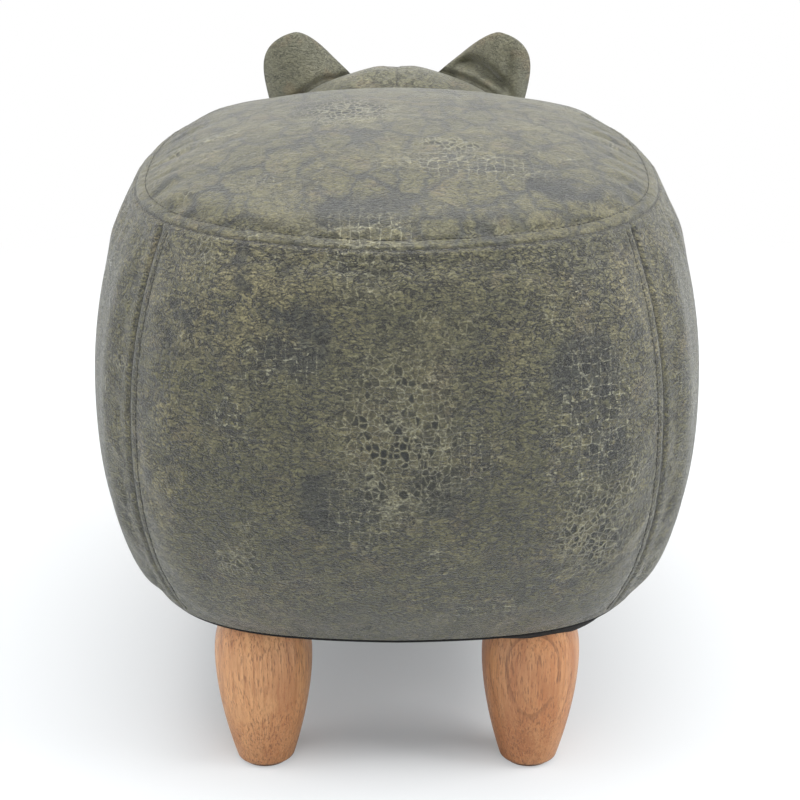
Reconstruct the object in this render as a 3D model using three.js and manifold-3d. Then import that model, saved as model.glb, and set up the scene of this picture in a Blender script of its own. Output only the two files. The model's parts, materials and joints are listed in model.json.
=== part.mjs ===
// A hippo footstool: an upholstered body on four turned wooden legs, with a stuffed head in front.
// Sizes are in millimetres. +Z is up, the head looks towards -Y, and the animal's left is +X.
// The origin is on the floor, under the middle of the stool's whole length.

import * as THREE from "three";
import { mergeVertices } from "three/addons/utils/BufferGeometryUtils.js";
import Module from "manifold-3d";

// Fits
const FIT_GAP = 0.3; // between pieces that touch
const CUT_OVERRUN = 4; // how far a cutting tool runs past what it cuts

// Cover: leather-look cloth, sewn from panels
const COVER_THICKNESS = 1.5;
const HEM_WIDTH = 22; // turned in under the base board
const DUST_COVER_THICKNESS = 2;
const DUST_COVER_INSET_WIDTH = 1.5;

// Body, outside the cover: widest level, and how far in from it the seat seam and the bottom edge
// lie
const BODY_WIDTH = 356;
const BODY_LENGTH = 458;
const SEAM_SIDE_INSET_WIDTH = 24;
const SEAM_END_INSET_WIDTH = 17;
const BASE_SIDE_INSET_WIDTH = 25;
const BASE_END_INSET_WIDTH = 51;
const SIDE_HEIGHT = 232; // bottom edge to seat seam
const CROWN_HEIGHT = 31; // seat seam to the top of the seat
const BODY_END_BOW_DEPTH = 26; // how far the ends bow out past their corners
const SEAM_END_BOW_DEPTH = 44;
const BASE_END_BOW_DEPTH = 16;
const SIDE_BOW_DEPTH = 12;
const WIDEST_SHARE = 0.5; // height of the widest level, as a share of the side height
const PLAN_EXPONENT = 4.2; // squareness of the outline seen from above
const BOW_EXPONENT = 1.5;
const UPPER_EXPONENT = 2.2; // fullness of the side above its widest level
const LOWER_EXPONENT = 2.3;
const CROWN_EXPONENT = 2.6;
const CROWN_FLAT_SHARE = 0.14; // middle of the seat that lies flat

// Wooden frame inside the body
const FRAME_SIDE_INSET_WIDTH = 40; // from the bottom edge of the cover
const FRAME_END_INSET_WIDTH = 18;
const FRAME_BOARD_THICKNESS = 12;
const TOP_BOARD_THICKNESS = 12;
const BASE_BOARD_THICKNESS = 15;
const BASE_BOARD_INSET_WIDTH = 3; // from the bottom edge of the cover
const CORNER_BLOCK_SIZE = 28;
const CORNER_BLOCK_HEIGHT = 70;
const SEAT_FOAM_EDGE_HEIGHT = 39; // seat seam down to the top board

// Turned legs, with their screws and glides
const LEG_HEIGHT = 92;
const LEG_DIAMETER = 56.5;
const LEG_TOP_DIAMETER = 46;
const FOOT_DIAMETER = 33;
const LEG_WIDEST_HEIGHT = 66;
const LEG_LOWER_EXPONENT = 1.75;
const LEG_UPPER_EXPONENT = 2.4;
const LEG_SIDE_INSET_WIDTH = 75.5; // bottom edge of the cover to the leg's axis
const LEG_END_INSET_WIDTH = 43;
const BOLT_DIAMETER = 8;
const BOLT_DEPTH_IN_LEG = 34;
const TEE_BARREL_DIAMETER = 10.5;
const TEE_BARREL_LENGTH = 11;
const TEE_FLANGE_DIAMETER = 22;
const TEE_FLANGE_THICKNESS = 1.6;
const GLIDE_DIAMETER = 27;
const GLIDE_THICKNESS = 2;
const GLIDE_NAIL_DIAMETER = 2.4;
const GLIDE_NAIL_LENGTH = 13;

// Head, outside the cover
const HEAD_REACH_LENGTH = 191; // front of the body to the tip of the muzzle
const NECK_DEPTH = 46; // how far the head's form starts inside the front of the body
const HEAD_SIDE_INSET_WIDTH = 61; // widest level of the body to the side of the head
const MOUTH_HEIGHT = 88; // body's bottom edge to the mouth at the muzzle
const MOUTH_SLOPE_HEIGHT = 30; // rise of the mouth line towards the neck
const HEAD_RISE_HEIGHT = 126; // mouth line to the top of the head
const HEAD_RIDGE_HEIGHT = 13; // raised by the seam down the middle
const JAW_DROP_HEIGHT = 62; // mouth line to the chin
const HEAD_WIDTH_SHARES = [0.76, 0.93, 0.93, 0.88, 1, 0.98]; // neck to muzzle
const HEAD_RISE_SHARES = [0.6, 0.97, 1, 0.84, 0.8, 0.86];
const JAW_DROP_SHARES = [0.4, 0.7, 0.9, 1, 0.98, 0.82];
const HEAD_UPPER_EXPONENT = 3.1;
const HEAD_LOWER_EXPONENT = 2.15;
const RIDGE_EXPONENT = 2.5;
const MUZZLE_START_SHARE = 0.6; // where the muzzle starts to close, from the neck
const MUZZLE_EXPONENT = 3;
const MUZZLE_TIP_SHARE = 0.9995; // where the panels meet, just short of the tip
const HEAD_BOARD_THICKNESS = 12;
const HEAD_BOARD_RIM_WIDTH = 30; // side of the board to a bolt's axis
const HEAD_BOARD_HEIGHT = 92;
const HEAD_BOARD_MIDDLE_HEIGHT = 158; // body's bottom edge to the middle of the head board
const HEAD_BOLT_SIDE_INSET_WIDTH = 71; // side of the frame to the bolt's axis
const HEAD_BOLT_CAP_DIAMETER = 15;
const HEAD_BOLT_CAP_HEIGHT = 4.5;
const HEAD_BOLT_TIP_LENGTH = 6; // past the head board

// Ears
const EAR_WIDTH = 57;
const EAR_HEIGHT = 62; // from the skin of the head to the tip
const EAR_ROOT_DEPTH = 24; // made below the skin, then cut to it
const EAR_CUP_DEPTH = 12;
const EAR_FOAM_THICKNESS = 6;
const EAR_SIDE_INSET_WIDTH = 50; // side of the head to the ear's axis
const EAR_SETBACK_LENGTH = 158;
const EAR_BASE_HEIGHT = 214; // body's bottom edge to the middle of the ear's foot
const EAR_LEAN_DEG = 11; // outwards
const EAR_TURN_DEG = 16; // open side turned outwards
const EAR_OUTER_TIP_EXPONENT = 7;
const EAR_INNER_TIP_EXPONENT = 14;
const EAR_ROUND_EXPONENT = 2;
const EAR_OUTER_TAPER_SHARE = 0.16; // narrower outside, towards the foot
const EAR_INNER_TIP_SHARE = 0.58; // inner half of the ear near its tip
const EAR_INNER_TIP_LEVEL = 0.9; // share of the height where that is
const EAR_FLARE_SHARE = 2.1; // broader inside, towards the foot

// Eyes and nostrils
const EYE_DIAMETER = 19;
const EYE_HEIGHT = 7;
const EYE_STANDOFF_HEIGHT = 1.3; // keeps its flat back clear of the curved skin
const EYE_STEM_DIAMETER = 5;
const EYE_STEM_LENGTH = 13;
const EYE_WASHER_DIAMETER = 17;
const EYE_WASHER_THICKNESS = 1.6;
const EYE_WASHER_SETBACK_DEPTH = 1.2; // keeps the flat washer clear of the curved skin
const EYE_PLACE_SHARE = 0.43; // along the head, neck to tip
const EYE_ANGLE_DEG = 46; // above the mouth line
const NOSTRIL_WIDTH = 25;
const NOSTRIL_LENGTH = 17;
const NOSTRIL_THICKNESS = 2.6;
const NOSTRIL_PLACE_SHARE = 0.7;
const NOSTRIL_ANGLE_DEG = 60;

// How finely round forms are divided
const PANEL_STEPS = 10;
const CROWN_STEPS = 6;
const HEAD_STEPS_ALONG = 10;
const HEAD_STEPS_QUARTER = 6;
const EAR_STEPS = 6;
const ROUND_SIDES = 20;
const SCREW_SIDES = 12;
const DERIVATIVE_STEP = 0.004;

// Levels above the floor, from the feet up
const LEG_FOOT_Z = GLIDE_THICKNESS + FIT_GAP;
const LEG_TOP_Z = LEG_FOOT_Z + LEG_HEIGHT;
const DUST_COVER_Z = LEG_TOP_Z + FIT_GAP;
const BASE_Z = DUST_COVER_Z + DUST_COVER_THICKNESS + FIT_GAP; // bottom edge of the cover
const BASE_BOARD_Z = BASE_Z + COVER_THICKNESS + FIT_GAP;
const BASE_BOARD_TOP_Z = BASE_BOARD_Z + BASE_BOARD_THICKNESS;
const SEAM_Z = BASE_Z + SIDE_HEIGHT;
const SEAT_FOAM_Z = SEAM_Z - SEAT_FOAM_EDGE_HEIGHT;
const TOP_BOARD_Z = SEAT_FOAM_Z - FIT_GAP - TOP_BOARD_THICKNESS;
const FRAME_Z = BASE_BOARD_TOP_Z + FIT_GAP;
const FRAME_TOP_Z = TOP_BOARD_Z - FIT_GAP;

// Plan of the seat seam, the bottom edge, what follows them, and the head
const SEAM_WIDTH = BODY_WIDTH - 2 * SEAM_SIDE_INSET_WIDTH;
const SEAM_LENGTH = BODY_LENGTH - 2 * SEAM_END_INSET_WIDTH;
const BASE_WIDTH = BODY_WIDTH - 2 * BASE_SIDE_INSET_WIDTH;
const BASE_LENGTH = BODY_LENGTH - 2 * BASE_END_INSET_WIDTH;
const FRAME_WIDTH = BASE_WIDTH - 2 * FRAME_SIDE_INSET_WIDTH;
const FRAME_LENGTH = BASE_LENGTH - 2 * FRAME_END_INSET_WIDTH;
const HEAD_BOLT_SPACING = FRAME_WIDTH - 2 * HEAD_BOLT_SIDE_INSET_WIDTH;
const HEAD_BOARD_WIDTH = HEAD_BOLT_SPACING + 2 * HEAD_BOARD_RIM_WIDTH;
const HEAD_WIDTH = BODY_WIDTH - 2 * HEAD_SIDE_INSET_WIDTH;
const EAR_SPACING = HEAD_WIDTH - 2 * EAR_SIDE_INSET_WIDTH;
const LEG_SPACING_X = BASE_WIDTH - 2 * LEG_SIDE_INSET_WIDTH;
const LEG_SPACING_Y = BASE_LENGTH - 2 * LEG_END_INSET_WIDTH;

// Places along the stool, measured from the middle of the body
const FRONT_Y = -BODY_LENGTH / 2;
const NOSE_Y = FRONT_Y - HEAD_REACH_LENGTH;
const NECK_Y = FRONT_Y + NECK_DEPTH;
const BODY_Y = HEAD_REACH_LENGTH / 2; // middle of the body, from the origin
const INNER_COVER = COVER_THICKNESS + FIT_GAP; // skin of the cover to the skin of the foam

const MATERIALS = {
  leather: { color: 0x73725f, roughness: 0.55, metalness: 0 },
  foam: { color: 0xe6dcb8, roughness: 0.95, metalness: 0 },
  wood: { color: 0xc4905f, roughness: 0.5, metalness: 0 },
  board: { color: 0xb9a17a, roughness: 0.8, metalness: 0 },
  steel: { color: 0x9fa3a6, roughness: 0.35, metalness: 1 },
  black_cloth: { color: 0x141414, roughness: 0.95, metalness: 0 },
  black_plastic: { color: 0x0b0b0c, roughness: 0.12, metalness: 0 },
  nostril_leather: { color: 0x2a2a26, roughness: 0.6, metalness: 0 },
  felt: { color: 0x4a3a2c, roughness: 1, metalness: 0 },
};

const wasm = await Module();
wasm.setup();
const stool = new THREE.Group();
stool.position.y = BODY_Y;

function add(name, material, geometry) {
  const mesh = new THREE.Mesh(geometry, new THREE.MeshStandardMaterial(MATERIALS[material]));
  mesh.name = name;
  stool.add(mesh);
  return mesh;
}

// Solids and cuts

function toSolid(geometry) {
  const bare = geometry.index ? geometry.toNonIndexed() : geometry.clone();
  bare.deleteAttribute("normal");
  bare.deleteAttribute("uv");
  const merged = mergeVertices(bare);
  return new wasm.Manifold(
    new wasm.Mesh({
      numProp: 3,
      vertProperties: merged.attributes.position.array,
      triVerts: new Uint32Array(merged.index.array),
    }),
  );
}

function toGeometry(solid) {
  const mesh = solid.getMesh();
  const geometry = new THREE.BufferGeometry();
  geometry.setAttribute("position", new THREE.BufferAttribute(mesh.vertProperties, 3));
  geometry.setIndex(new THREE.BufferAttribute(mesh.triVerts, 1));
  geometry.computeVertexNormals();
  return geometry;
}

function cut(geometry, tools) {
  const left = tools.reduce((solid, tool) => solid.subtract(toSolid(tool)), toSolid(geometry));
  return toGeometry(left);
}

// Triangles of a grid of points, where rows can shrink to one point. Both skins of a slab split
// their squares the same way, so that neighbouring skins stay parallel.
function skinTriangles(grid, wrap, out, flip) {
  for (let i = 0; i + 1 < grid.length; i++) {
    const across = grid[i].length;
    for (let j = 0; j < (wrap ? across : across - 1); j++) {
      const k = (j + 1) % across;
      const [a, b, c, d] = [grid[i][j], grid[i][k], grid[i + 1][k], grid[i + 1][j]];
      out.push(...(flip ? [a, c, b, a, d, c] : [a, b, c, a, c, d]));
    }
  }
}

function fromTriangles(points) {
  const kept = [];
  for (let i = 0; i < points.length; i += 3) {
    const [a, b, c] = points.slice(i, i + 3);
    if (!a.equals(b) && !b.equals(c) && !c.equals(a)) kept.push(a, b, c);
  }
  return mergeVertices(new THREE.BufferGeometry().setFromPoints(kept));
}

// The solid between an outer and an inner grid of points, closed round its edges.
function slab(outer, inner, wrap = false) {
  const out = [];
  const last = outer.length - 1;
  skinTriangles(outer, wrap, out, false);
  skinTriangles(inner, wrap, out, true);
  skinTriangles([inner[0], outer[0]], wrap, out, false);
  skinTriangles([outer[last], inner[last]], wrap, out, false);
  if (!wrap) {
    const end = outer[0].length - 1;
    for (let i = 0; i < last; i++) {
      const [a, b, c, d] = [outer[i][0], outer[i + 1][0], inner[i + 1][0], inner[i][0]];
      out.push(a, b, c, a, c, d);
      const [e, f, g, h] = [outer[i][end], outer[i + 1][end], inner[i + 1][end], inner[i][end]];
      out.push(e, g, f, e, h, g);
    }
  }
  return fromTriangles(out);
}

// A closed skin that wraps round and shrinks to a point at both ends.
function closedSkin(grid) {
  const out = [];
  skinTriangles(grid, true, out, false);
  return fromTriangles(out);
}

function steps(count, from = 0, to = 1) {
  return Array.from({ length: count + 1 }, (_, i) => from + ((to - from) * i) / count);
}

function mix(a, b, share) {
  return a + (b - a) * share;
}

function signedPower(value, exponent) {
  return Math.sign(value) * Math.abs(value) ** exponent;
}

// A solid turned about the Z axis, from a profile of [radius, height] pairs that goes upwards.
function turned(profile, sides = ROUND_SIDES) {
  const points = profile.map(([radius, height]) => new THREE.Vector2(radius, height));
  return new THREE.LatheGeometry(points, sides).rotateX(Math.PI / 2);
}

function rod(diameter, from, to, sides = SCREW_SIDES) {
  const radius = diameter / 2;
  return turned([[0, from], [radius, from], [radius, to], [0, to]], sides);
}

function plate(shape, from, to) {
  const geometry = new THREE.ExtrudeGeometry(shape, { depth: to - from, bevelEnabled: false });
  return geometry.translate(0, 0, from);
}

// Body form. A panel is 0 left, 1 rear, 2 right or 3 front, and across runs from -1 to 1 along it,
// anticlockwise seen from above. Height is 0 at the bottom edge, 1 at the seat seam and 2 at the
// middle of the seat.

const CORNER_SHARE = 0.5 ** (1 / PLAN_EXPONENT); // where the panels meet on the outline

function outlinePoint(size, panel, across) {
  const flat = across * CORNER_SHARE;
  const far = (1 - Math.abs(flat) ** PLAN_EXPONENT) ** (1 / PLAN_EXPONENT);
  const turn = panel < 2 ? 1 : -1;
  const x = panel % 2 ? -turn * flat : turn * far;
  const y = panel % 2 ? turn * far : turn * flat;
  const bowed = (along, beside, half, bow) =>
    along * (half - bow) + bow * along * (1 - Math.abs(beside) ** BOW_EXPONENT);
  return [
    bowed(x, y, size.width / 2, size.sideBow),
    bowed(y, x, size.length / 2, size.endBow),
  ];
}

const outline = (width, length, endBow) => ({ width, length, endBow, sideBow: SIDE_BOW_DEPTH });
const WIDEST = outline(BODY_WIDTH, BODY_LENGTH, BODY_END_BOW_DEPTH);
const SEAM = outline(SEAM_WIDTH, SEAM_LENGTH, SEAM_END_BOW_DEPTH);
const BASE = outline(BASE_WIDTH, BASE_LENGTH, BASE_END_BOW_DEPTH);

function sizeAt(height) {
  const above = Math.max(height - WIDEST_SHARE, 0) / (1 - WIDEST_SHARE);
  const below = Math.max(WIDEST_SHARE - height, 0) / WIDEST_SHARE;
  const size = {};
  for (const key of Object.keys(WIDEST)) {
    const towardsSeam = (SEAM[key] - WIDEST[key]) * above ** UPPER_EXPONENT;
    const towardsBase = (BASE[key] - WIDEST[key]) * below ** LOWER_EXPONENT;
    size[key] = WIDEST[key] + towardsSeam + towardsBase;
  }
  return size;
}

function bodyPoint(panel, across, height) {
  if (height <= 1) {
    const [x, y] = outlinePoint(sizeAt(height), panel, across);
    return new THREE.Vector3(x, y, BASE_Z + SIDE_HEIGHT * height);
  }
  const [x, y] = outlinePoint(SEAM, panel, across);
  const share = 2 - height;
  const rise = CROWN_HEIGHT * (1 - Math.max(share, CROWN_FLAT_SHARE) ** CROWN_EXPONENT);
  return new THREE.Vector3(share * x, share * y, SEAM_Z + rise);
}

// The way out of a surface at (a, b), where a runs to the left of b seen from outside.
function outward(surface, a, b) {
  const step = DERIVATIVE_STEP;
  const alongA = surface(a + step, b).sub(surface(a - step, b));
  const alongB = surface(a, b + step).sub(surface(a, b - step));
  return alongA.cross(alongB).normalize();
}

function bodyOffset(panel, across, height, depth) {
  if (height > 2 - CROWN_FLAT_SHARE) {
    return bodyPoint(panel, across, height).sub(new THREE.Vector3(0, 0, depth));
  }
  const surface = (a, b) => bodyPoint(panel, a, b);
  const inside = Math.min(Math.max(across, DERIVATIVE_STEP - 1), 1 - DERIVATIVE_STEP);
  const level = Math.max(height, DERIVATIVE_STEP);
  const normal = outward(surface, inside, level);
  return bodyPoint(panel, across, height).addScaledVector(normal, -depth);
}

// Heights of the rows of points. The side has a row at its widest and at the seat foam's underside.
const FOAM_SPLIT = 1 - SEAT_FOAM_EDGE_HEIGHT / SIDE_HEIGHT;
const PAD_FOOT = (FRAME_Z - BASE_Z) / SIDE_HEIGHT;
const MIDDLE_ROWS = steps(2, WIDEST_SHARE, FOAM_SPLIT).slice(1);
const PAD_ROWS = [...steps(4, PAD_FOOT, WIDEST_SHARE), ...MIDDLE_ROWS];
const LOWER_ROWS = [0, ...PAD_ROWS];
const UPPER_ROWS = steps(2, FOAM_SPLIT, 1);
const CROWN_ROWS = [...steps(CROWN_STEPS - 1, 1, 2 - CROWN_FLAT_SHARE), 2];
const SEAM_SHARE = FIT_GAP / 2 / SIDE_HEIGHT; // half the gap at the seat seam, as a height
const PANEL_END = 1 - FIT_GAP / (BODY_WIDTH / 2); // leaves the gap between panels
const PANELS = ["left", "rear", "right", "front"];

function acrossPanel(end = PANEL_END) {
  return steps(PANEL_STEPS, -end, end);
}

// A row of points right round the body, one panel after another.
function allRound(pointAt) {
  return PANELS.flatMap((_, panel) =>
    acrossPanel(1).slice(0, PANEL_STEPS).map((across) => pointAt(panel, across)),
  );
}

function makeBodyEnvelope(margin) {
  const rows = [...LOWER_ROWS, ...UPPER_ROWS.slice(1), ...CROWN_ROWS.slice(1)];
  const skin = rows.map((height) => allRound((p, a) => bodyOffset(p, a, height, -margin)));
  const foot = skin[0].map(() => new THREE.Vector3(0, 0, skin[0][0].z));
  return closedSkin([foot, ...skin]);
}

// Pieces of the cover

function makeSeatCover() {
  const rows = [1 + SEAM_SHARE, ...CROWN_ROWS.slice(1)];
  const layer = (depth) =>
    rows.map((height) => allRound((p, a) => bodyOffset(p, a, height, depth)));
  return slab(layer(0), layer(COVER_THICKNESS), true);
}

function makeSideCover(panel) {
  const rows = [...LOWER_ROWS, ...UPPER_ROWS.slice(1, -1), 1 - SEAM_SHARE];
  const columns = acrossPanel();
  const outer = rows.map((h) => columns.map((a) => bodyOffset(panel, a, h, 0)));
  const inner = rows.map((h) => columns.map((a) => bodyOffset(panel, a, h, COVER_THICKNESS)));
  const hem = (inset, rise) =>
    columns.map((a) => {
      const size = { ...BASE, width: BASE_WIDTH - 2 * inset, length: BASE_LENGTH - 2 * inset };
      const [x, y] = outlinePoint(size, panel, a);
      return new THREE.Vector3(x, y, BASE_Z + rise);
    });
  outer[0] = hem(0, 0);
  inner[0] = hem(COVER_THICKNESS, COVER_THICKNESS);
  return slab([hem(HEM_WIDTH, 0), ...outer], [hem(HEM_WIDTH, COVER_THICKNESS), ...inner]);
}

function baseOutline(inset) {
  const size = { ...BASE, width: BASE_WIDTH - 2 * inset, length: BASE_LENGTH - 2 * inset };
  return allRound((p, a) => new THREE.Vector2(...outlinePoint(size, p, a)));
}

function legPlaces() {
  return ["rear", "front"].flatMap((end) =>
    ["left", "right"].map((side) => ({
      name: `${end}_${side}`,
      x: ((side === "left" ? 1 : -1) * LEG_SPACING_X) / 2,
      y: ((end === "rear" ? 1 : -1) * LEG_SPACING_Y) / 2,
    })),
  );
}

function drilledBase(inset, from, to, holeDiameter) {
  const shape = new THREE.Shape(baseOutline(inset));
  for (const { x, y } of legPlaces()) {
    const hole = new THREE.Path().absarc(x, y, holeDiameter / 2, 0, Math.PI * 2, true);
    shape.holes.push(hole);
  }
  return new THREE.ExtrudeGeometry(shape, {
    depth: to - from,
    bevelEnabled: false,
    curveSegments: SCREW_SIDES,
  }).translate(0, 0, from);
}

// Foam

function makeSeatFoam() {
  const rows = [...UPPER_ROWS, ...CROWN_ROWS.slice(1)];
  const outer = rows.map((h) => allRound((p, a) => bodyOffset(p, a, h, INNER_COVER)));
  outer[0].forEach((point) => point.setZ(SEAT_FOAM_Z));
  const middle = outer[0].map(() => new THREE.Vector3(0, 0, SEAT_FOAM_Z));
  return closedSkin([middle, ...outer]);
}

function makeSidePad(panel) {
  const columns = acrossPanel();
  const outer = PAD_ROWS.map((h) => columns.map((a) => bodyOffset(panel, a, h, INNER_COVER)));
  const top = SEAT_FOAM_Z - FIT_GAP;
  outer.at(-1).forEach((point) => point.setZ(top));
  const turn = panel < 2 ? 1 : -1;
  const x = turn * (FRAME_WIDTH / 2 + FIT_GAP);
  const y = turn * (FRAME_LENGTH / 2 + FIT_GAP);
  const frameFace = (z) =>
    columns.map((a) => new THREE.Vector3(...(panel % 2 ? [-x * a, y, z] : [x, y * a, z])));
  return slab(outer, steps(PAD_ROWS.length - 1, FRAME_Z, top).map(frameFace));
}

// Frame

function box(x0, x1, y0, y1, z0, z1) {
  const geometry = new THREE.BoxGeometry(x1 - x0, y1 - y0, z1 - z0);
  return geometry.translate((x0 + x1) / 2, (y0 + y1) / 2, (z0 + z1) / 2);
}

function headBoltPlaces() {
  return ["left", "right"].map((side) => ({
    side,
    x: ((side === "left" ? 1 : -1) * HEAD_BOLT_SPACING) / 2,
    z: BASE_Z + HEAD_BOARD_MIDDLE_HEIGHT,
  }));
}

// A turned geometry laid down to run towards the nose from a place in the X-Z plane.
function towardsNose(geometry, place) {
  return geometry.rotateX(Math.PI / 2).translate(place.x, 0, place.z);
}

function headBoltHoles(diameter) {
  const inside = -FRAME_LENGTH / 2 + FRAME_BOARD_THICKNESS + CUT_OVERRUN;
  return headBoltPlaces().map((place) =>
    towardsNose(rod(diameter, -inside, -NOSE_Y - HEAD_REACH_LENGTH / 2), place),
  );
}

function makeFrame() {
  const x = FRAME_WIDTH / 2;
  const y = FRAME_LENGTH / 2;
  const endHalf = x - FRAME_BOARD_THICKNESS - FIT_GAP;
  const wall = FRAME_BOARD_THICKNESS;
  const heights = [FRAME_Z, FRAME_TOP_Z];
  const front = box(-endHalf, endHalf, -y, -y + wall, ...heights);
  add("frame_left_board", "board", box(x - wall, x, -y, y, ...heights));
  add("frame_right_board", "board", box(-x, -x + wall, -y, y, ...heights));
  add("frame_rear_board", "board", box(-endHalf, endHalf, y - wall, y, ...heights));
  add("frame_front_board", "board", cut(front, headBoltHoles(BOLT_DIAMETER + 2 * FIT_GAP)));
  add("frame_top_board", "board", box(-x, x, -y, y, TOP_BOARD_Z, TOP_BOARD_Z + TOP_BOARD_THICKNESS));
  const blockFoot = FRAME_TOP_Z - CORNER_BLOCK_HEIGHT;
  const endFace = y - FRAME_BOARD_THICKNESS - FIT_GAP;
  for (const { name, x: legX, y: legY } of legPlaces()) {
    const block = box(0, CORNER_BLOCK_SIZE, 0, CORNER_BLOCK_SIZE, blockFoot, FRAME_TOP_Z);
    block.translate(-CORNER_BLOCK_SIZE / 2, -CORNER_BLOCK_SIZE / 2, 0);
    const blockX = Math.sign(legX) * (endHalf - CORNER_BLOCK_SIZE / 2);
    const blockY = Math.sign(legY) * (endFace - CORNER_BLOCK_SIZE / 2);
    add(`corner_block_${name}`, "wood", block.translate(blockX, blockY, 0));
  }
  const holes = TEE_BARREL_DIAMETER + 2 * FIT_GAP;
  add(
    "base_board",
    "board",
    drilledBase(BASE_BOARD_INSET_WIDTH, BASE_BOARD_Z, BASE_BOARD_TOP_Z, holes),
  );
}

// Legs and what fastens them

function legRadius(height) {
  const foot = FOOT_DIAMETER / 2;
  const widest = LEG_DIAMETER / 2;
  if (height < LEG_WIDEST_HEIGHT) {
    const below = 1 - height / LEG_WIDEST_HEIGHT;
    return mix(widest, foot, below ** LEG_LOWER_EXPONENT);
  }
  const above = (height - LEG_WIDEST_HEIGHT) / (LEG_HEIGHT - LEG_WIDEST_HEIGHT);
  return mix(widest, LEG_TOP_DIAMETER / 2, above ** LEG_UPPER_EXPONENT);
}

function makeLegs() {
  const boltHole = BOLT_DIAMETER / 2 + FIT_GAP;
  const nailHole = GLIDE_NAIL_DIAMETER / 2 + FIT_GAP;
  const nailTop = GLIDE_THICKNESS + GLIDE_NAIL_LENGTH;
  const boltFoot = LEG_TOP_Z - BOLT_DEPTH_IN_LEG;
  const teeTop = BASE_BOARD_TOP_Z + FIT_GAP + TEE_FLANGE_THICKNESS;
  const heights = [
    ...steps(6, 0, LEG_WIDEST_HEIGHT),
    ...steps(4, LEG_WIDEST_HEIGHT, LEG_HEIGHT).slice(1),
  ];
  for (const { name, x, y } of legPlaces()) {
    const leg = turned([
      [0, nailTop + FIT_GAP],
      [nailHole, nailTop + FIT_GAP],
      [nailHole, LEG_FOOT_Z],
      ...heights.map((height) => [legRadius(height), LEG_FOOT_Z + height]),
      [boltHole, LEG_TOP_Z],
      [boltHole, boltFoot - FIT_GAP],
      [0, boltFoot - FIT_GAP],
    ]);
    const glide = turned([
      [0, 0],
      [GLIDE_DIAMETER / 2, 0],
      [GLIDE_DIAMETER / 2, GLIDE_THICKNESS],
      [GLIDE_NAIL_DIAMETER / 2, GLIDE_THICKNESS],
      [GLIDE_NAIL_DIAMETER / 2, nailTop],
      [0, nailTop],
    ]);
    add(`leg_${name}`, "wood", leg).position.set(x, y, 0);
    add(`glide_${name}`, "felt", glide).position.set(x, y, 0);
    add(`hanger_bolt_${name}`, "steel", rod(BOLT_DIAMETER, boltFoot, teeTop)).position.set(x, y, 0);
    const tee = teeNut(BASE_BOARD_TOP_Z + FIT_GAP);
    add(`tee_nut_${name}`, "steel", tee).position.set(x, y, 0);
  }
}

// A tee nut whose flange rests on a board's face at the given height, with its barrel downwards.
function teeNut(face) {
  const bore = BOLT_DIAMETER / 2 + FIT_GAP;
  const barrel = TEE_BARREL_DIAMETER / 2;
  return turned(
    [
      [bore, face - TEE_BARREL_LENGTH],
      [barrel, face - TEE_BARREL_LENGTH],
      [barrel, face],
      [TEE_FLANGE_DIAMETER / 2, face],
      [TEE_FLANGE_DIAMETER / 2, face + TEE_FLANGE_THICKNESS],
      [bore, face + TEE_FLANGE_THICKNESS],
      [bore, face - TEE_BARREL_LENGTH],
    ],
    SCREW_SIDES,
  );
}

// Head form. Along runs from 0 at the neck to 1 at the tip of the muzzle, and the angle from 0 at
// the left of the mouth line, over the top, to a half turn at its right.

function valueAlong(shares, place) {
  const points = shares.map((share, i) => new THREE.Vector2(i, share));
  return new THREE.SplineCurve(points).getPoint(place).y;
}

function headPoint(along, angle) {
  const closing = Math.max(along - 0.5, 0) * Math.PI;
  const taper = 2 / MUZZLE_EXPONENT;
  const open = Math.max(Math.cos(closing), 0) ** taper;
  const place =
    along < 0.5
      ? 2 * along * MUZZLE_START_SHARE
      : mix(MUZZLE_START_SHARE, 1, Math.sin(closing) ** taper);
  const upper = Math.sin(angle) >= 0;
  const power = 2 / (upper ? HEAD_UPPER_EXPONENT : HEAD_LOWER_EXPONENT);
  const halfWidth = (HEAD_WIDTH / 2) * valueAlong(HEAD_WIDTH_SHARES, place);
  const rise = HEAD_RISE_HEIGHT * valueAlong(HEAD_RISE_SHARES, place);
  const drop = JAW_DROP_HEIGHT * valueAlong(JAW_DROP_SHARES, place);
  const ridge = upper ? HEAD_RIDGE_HEIGHT * (1 - Math.abs(Math.cos(angle))) ** RIDGE_EXPONENT : 0;
  const lift = (upper ? rise : drop) * signedPower(Math.sin(angle), power) + ridge;
  return new THREE.Vector3(
    open * halfWidth * signedPower(Math.cos(angle), power),
    mix(NECK_Y, NOSE_Y, place),
    BASE_Z + MOUTH_HEIGHT + MOUTH_SLOPE_HEIGHT * (1 - place) + open * lift,
  );
}

function headNormal(along, angle) {
  const inside = Math.min(Math.max(along, DERIVATIVE_STEP), MUZZLE_TIP_SHARE - DERIVATIVE_STEP);
  return outward(headPoint, inside, angle).negate();
}

function headOffset(along, angle, depth) {
  if (along > MUZZLE_TIP_SHARE) {
    return new THREE.Vector3(0, NOSE_Y + depth, BASE_Z + MOUTH_HEIGHT);
  }
  return headPoint(along, angle).addScaledVector(headNormal(along, angle), -depth);
}

const HEAD_ROWS = [...steps(HEAD_STEPS_ALONG).slice(0, -1), MUZZLE_TIP_SHARE];

function headPatch(from, to, count, depth) {
  return HEAD_ROWS.map((along) =>
    steps(count, from, to).map((angle) => headOffset(along, angle, depth)),
  );
}

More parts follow.
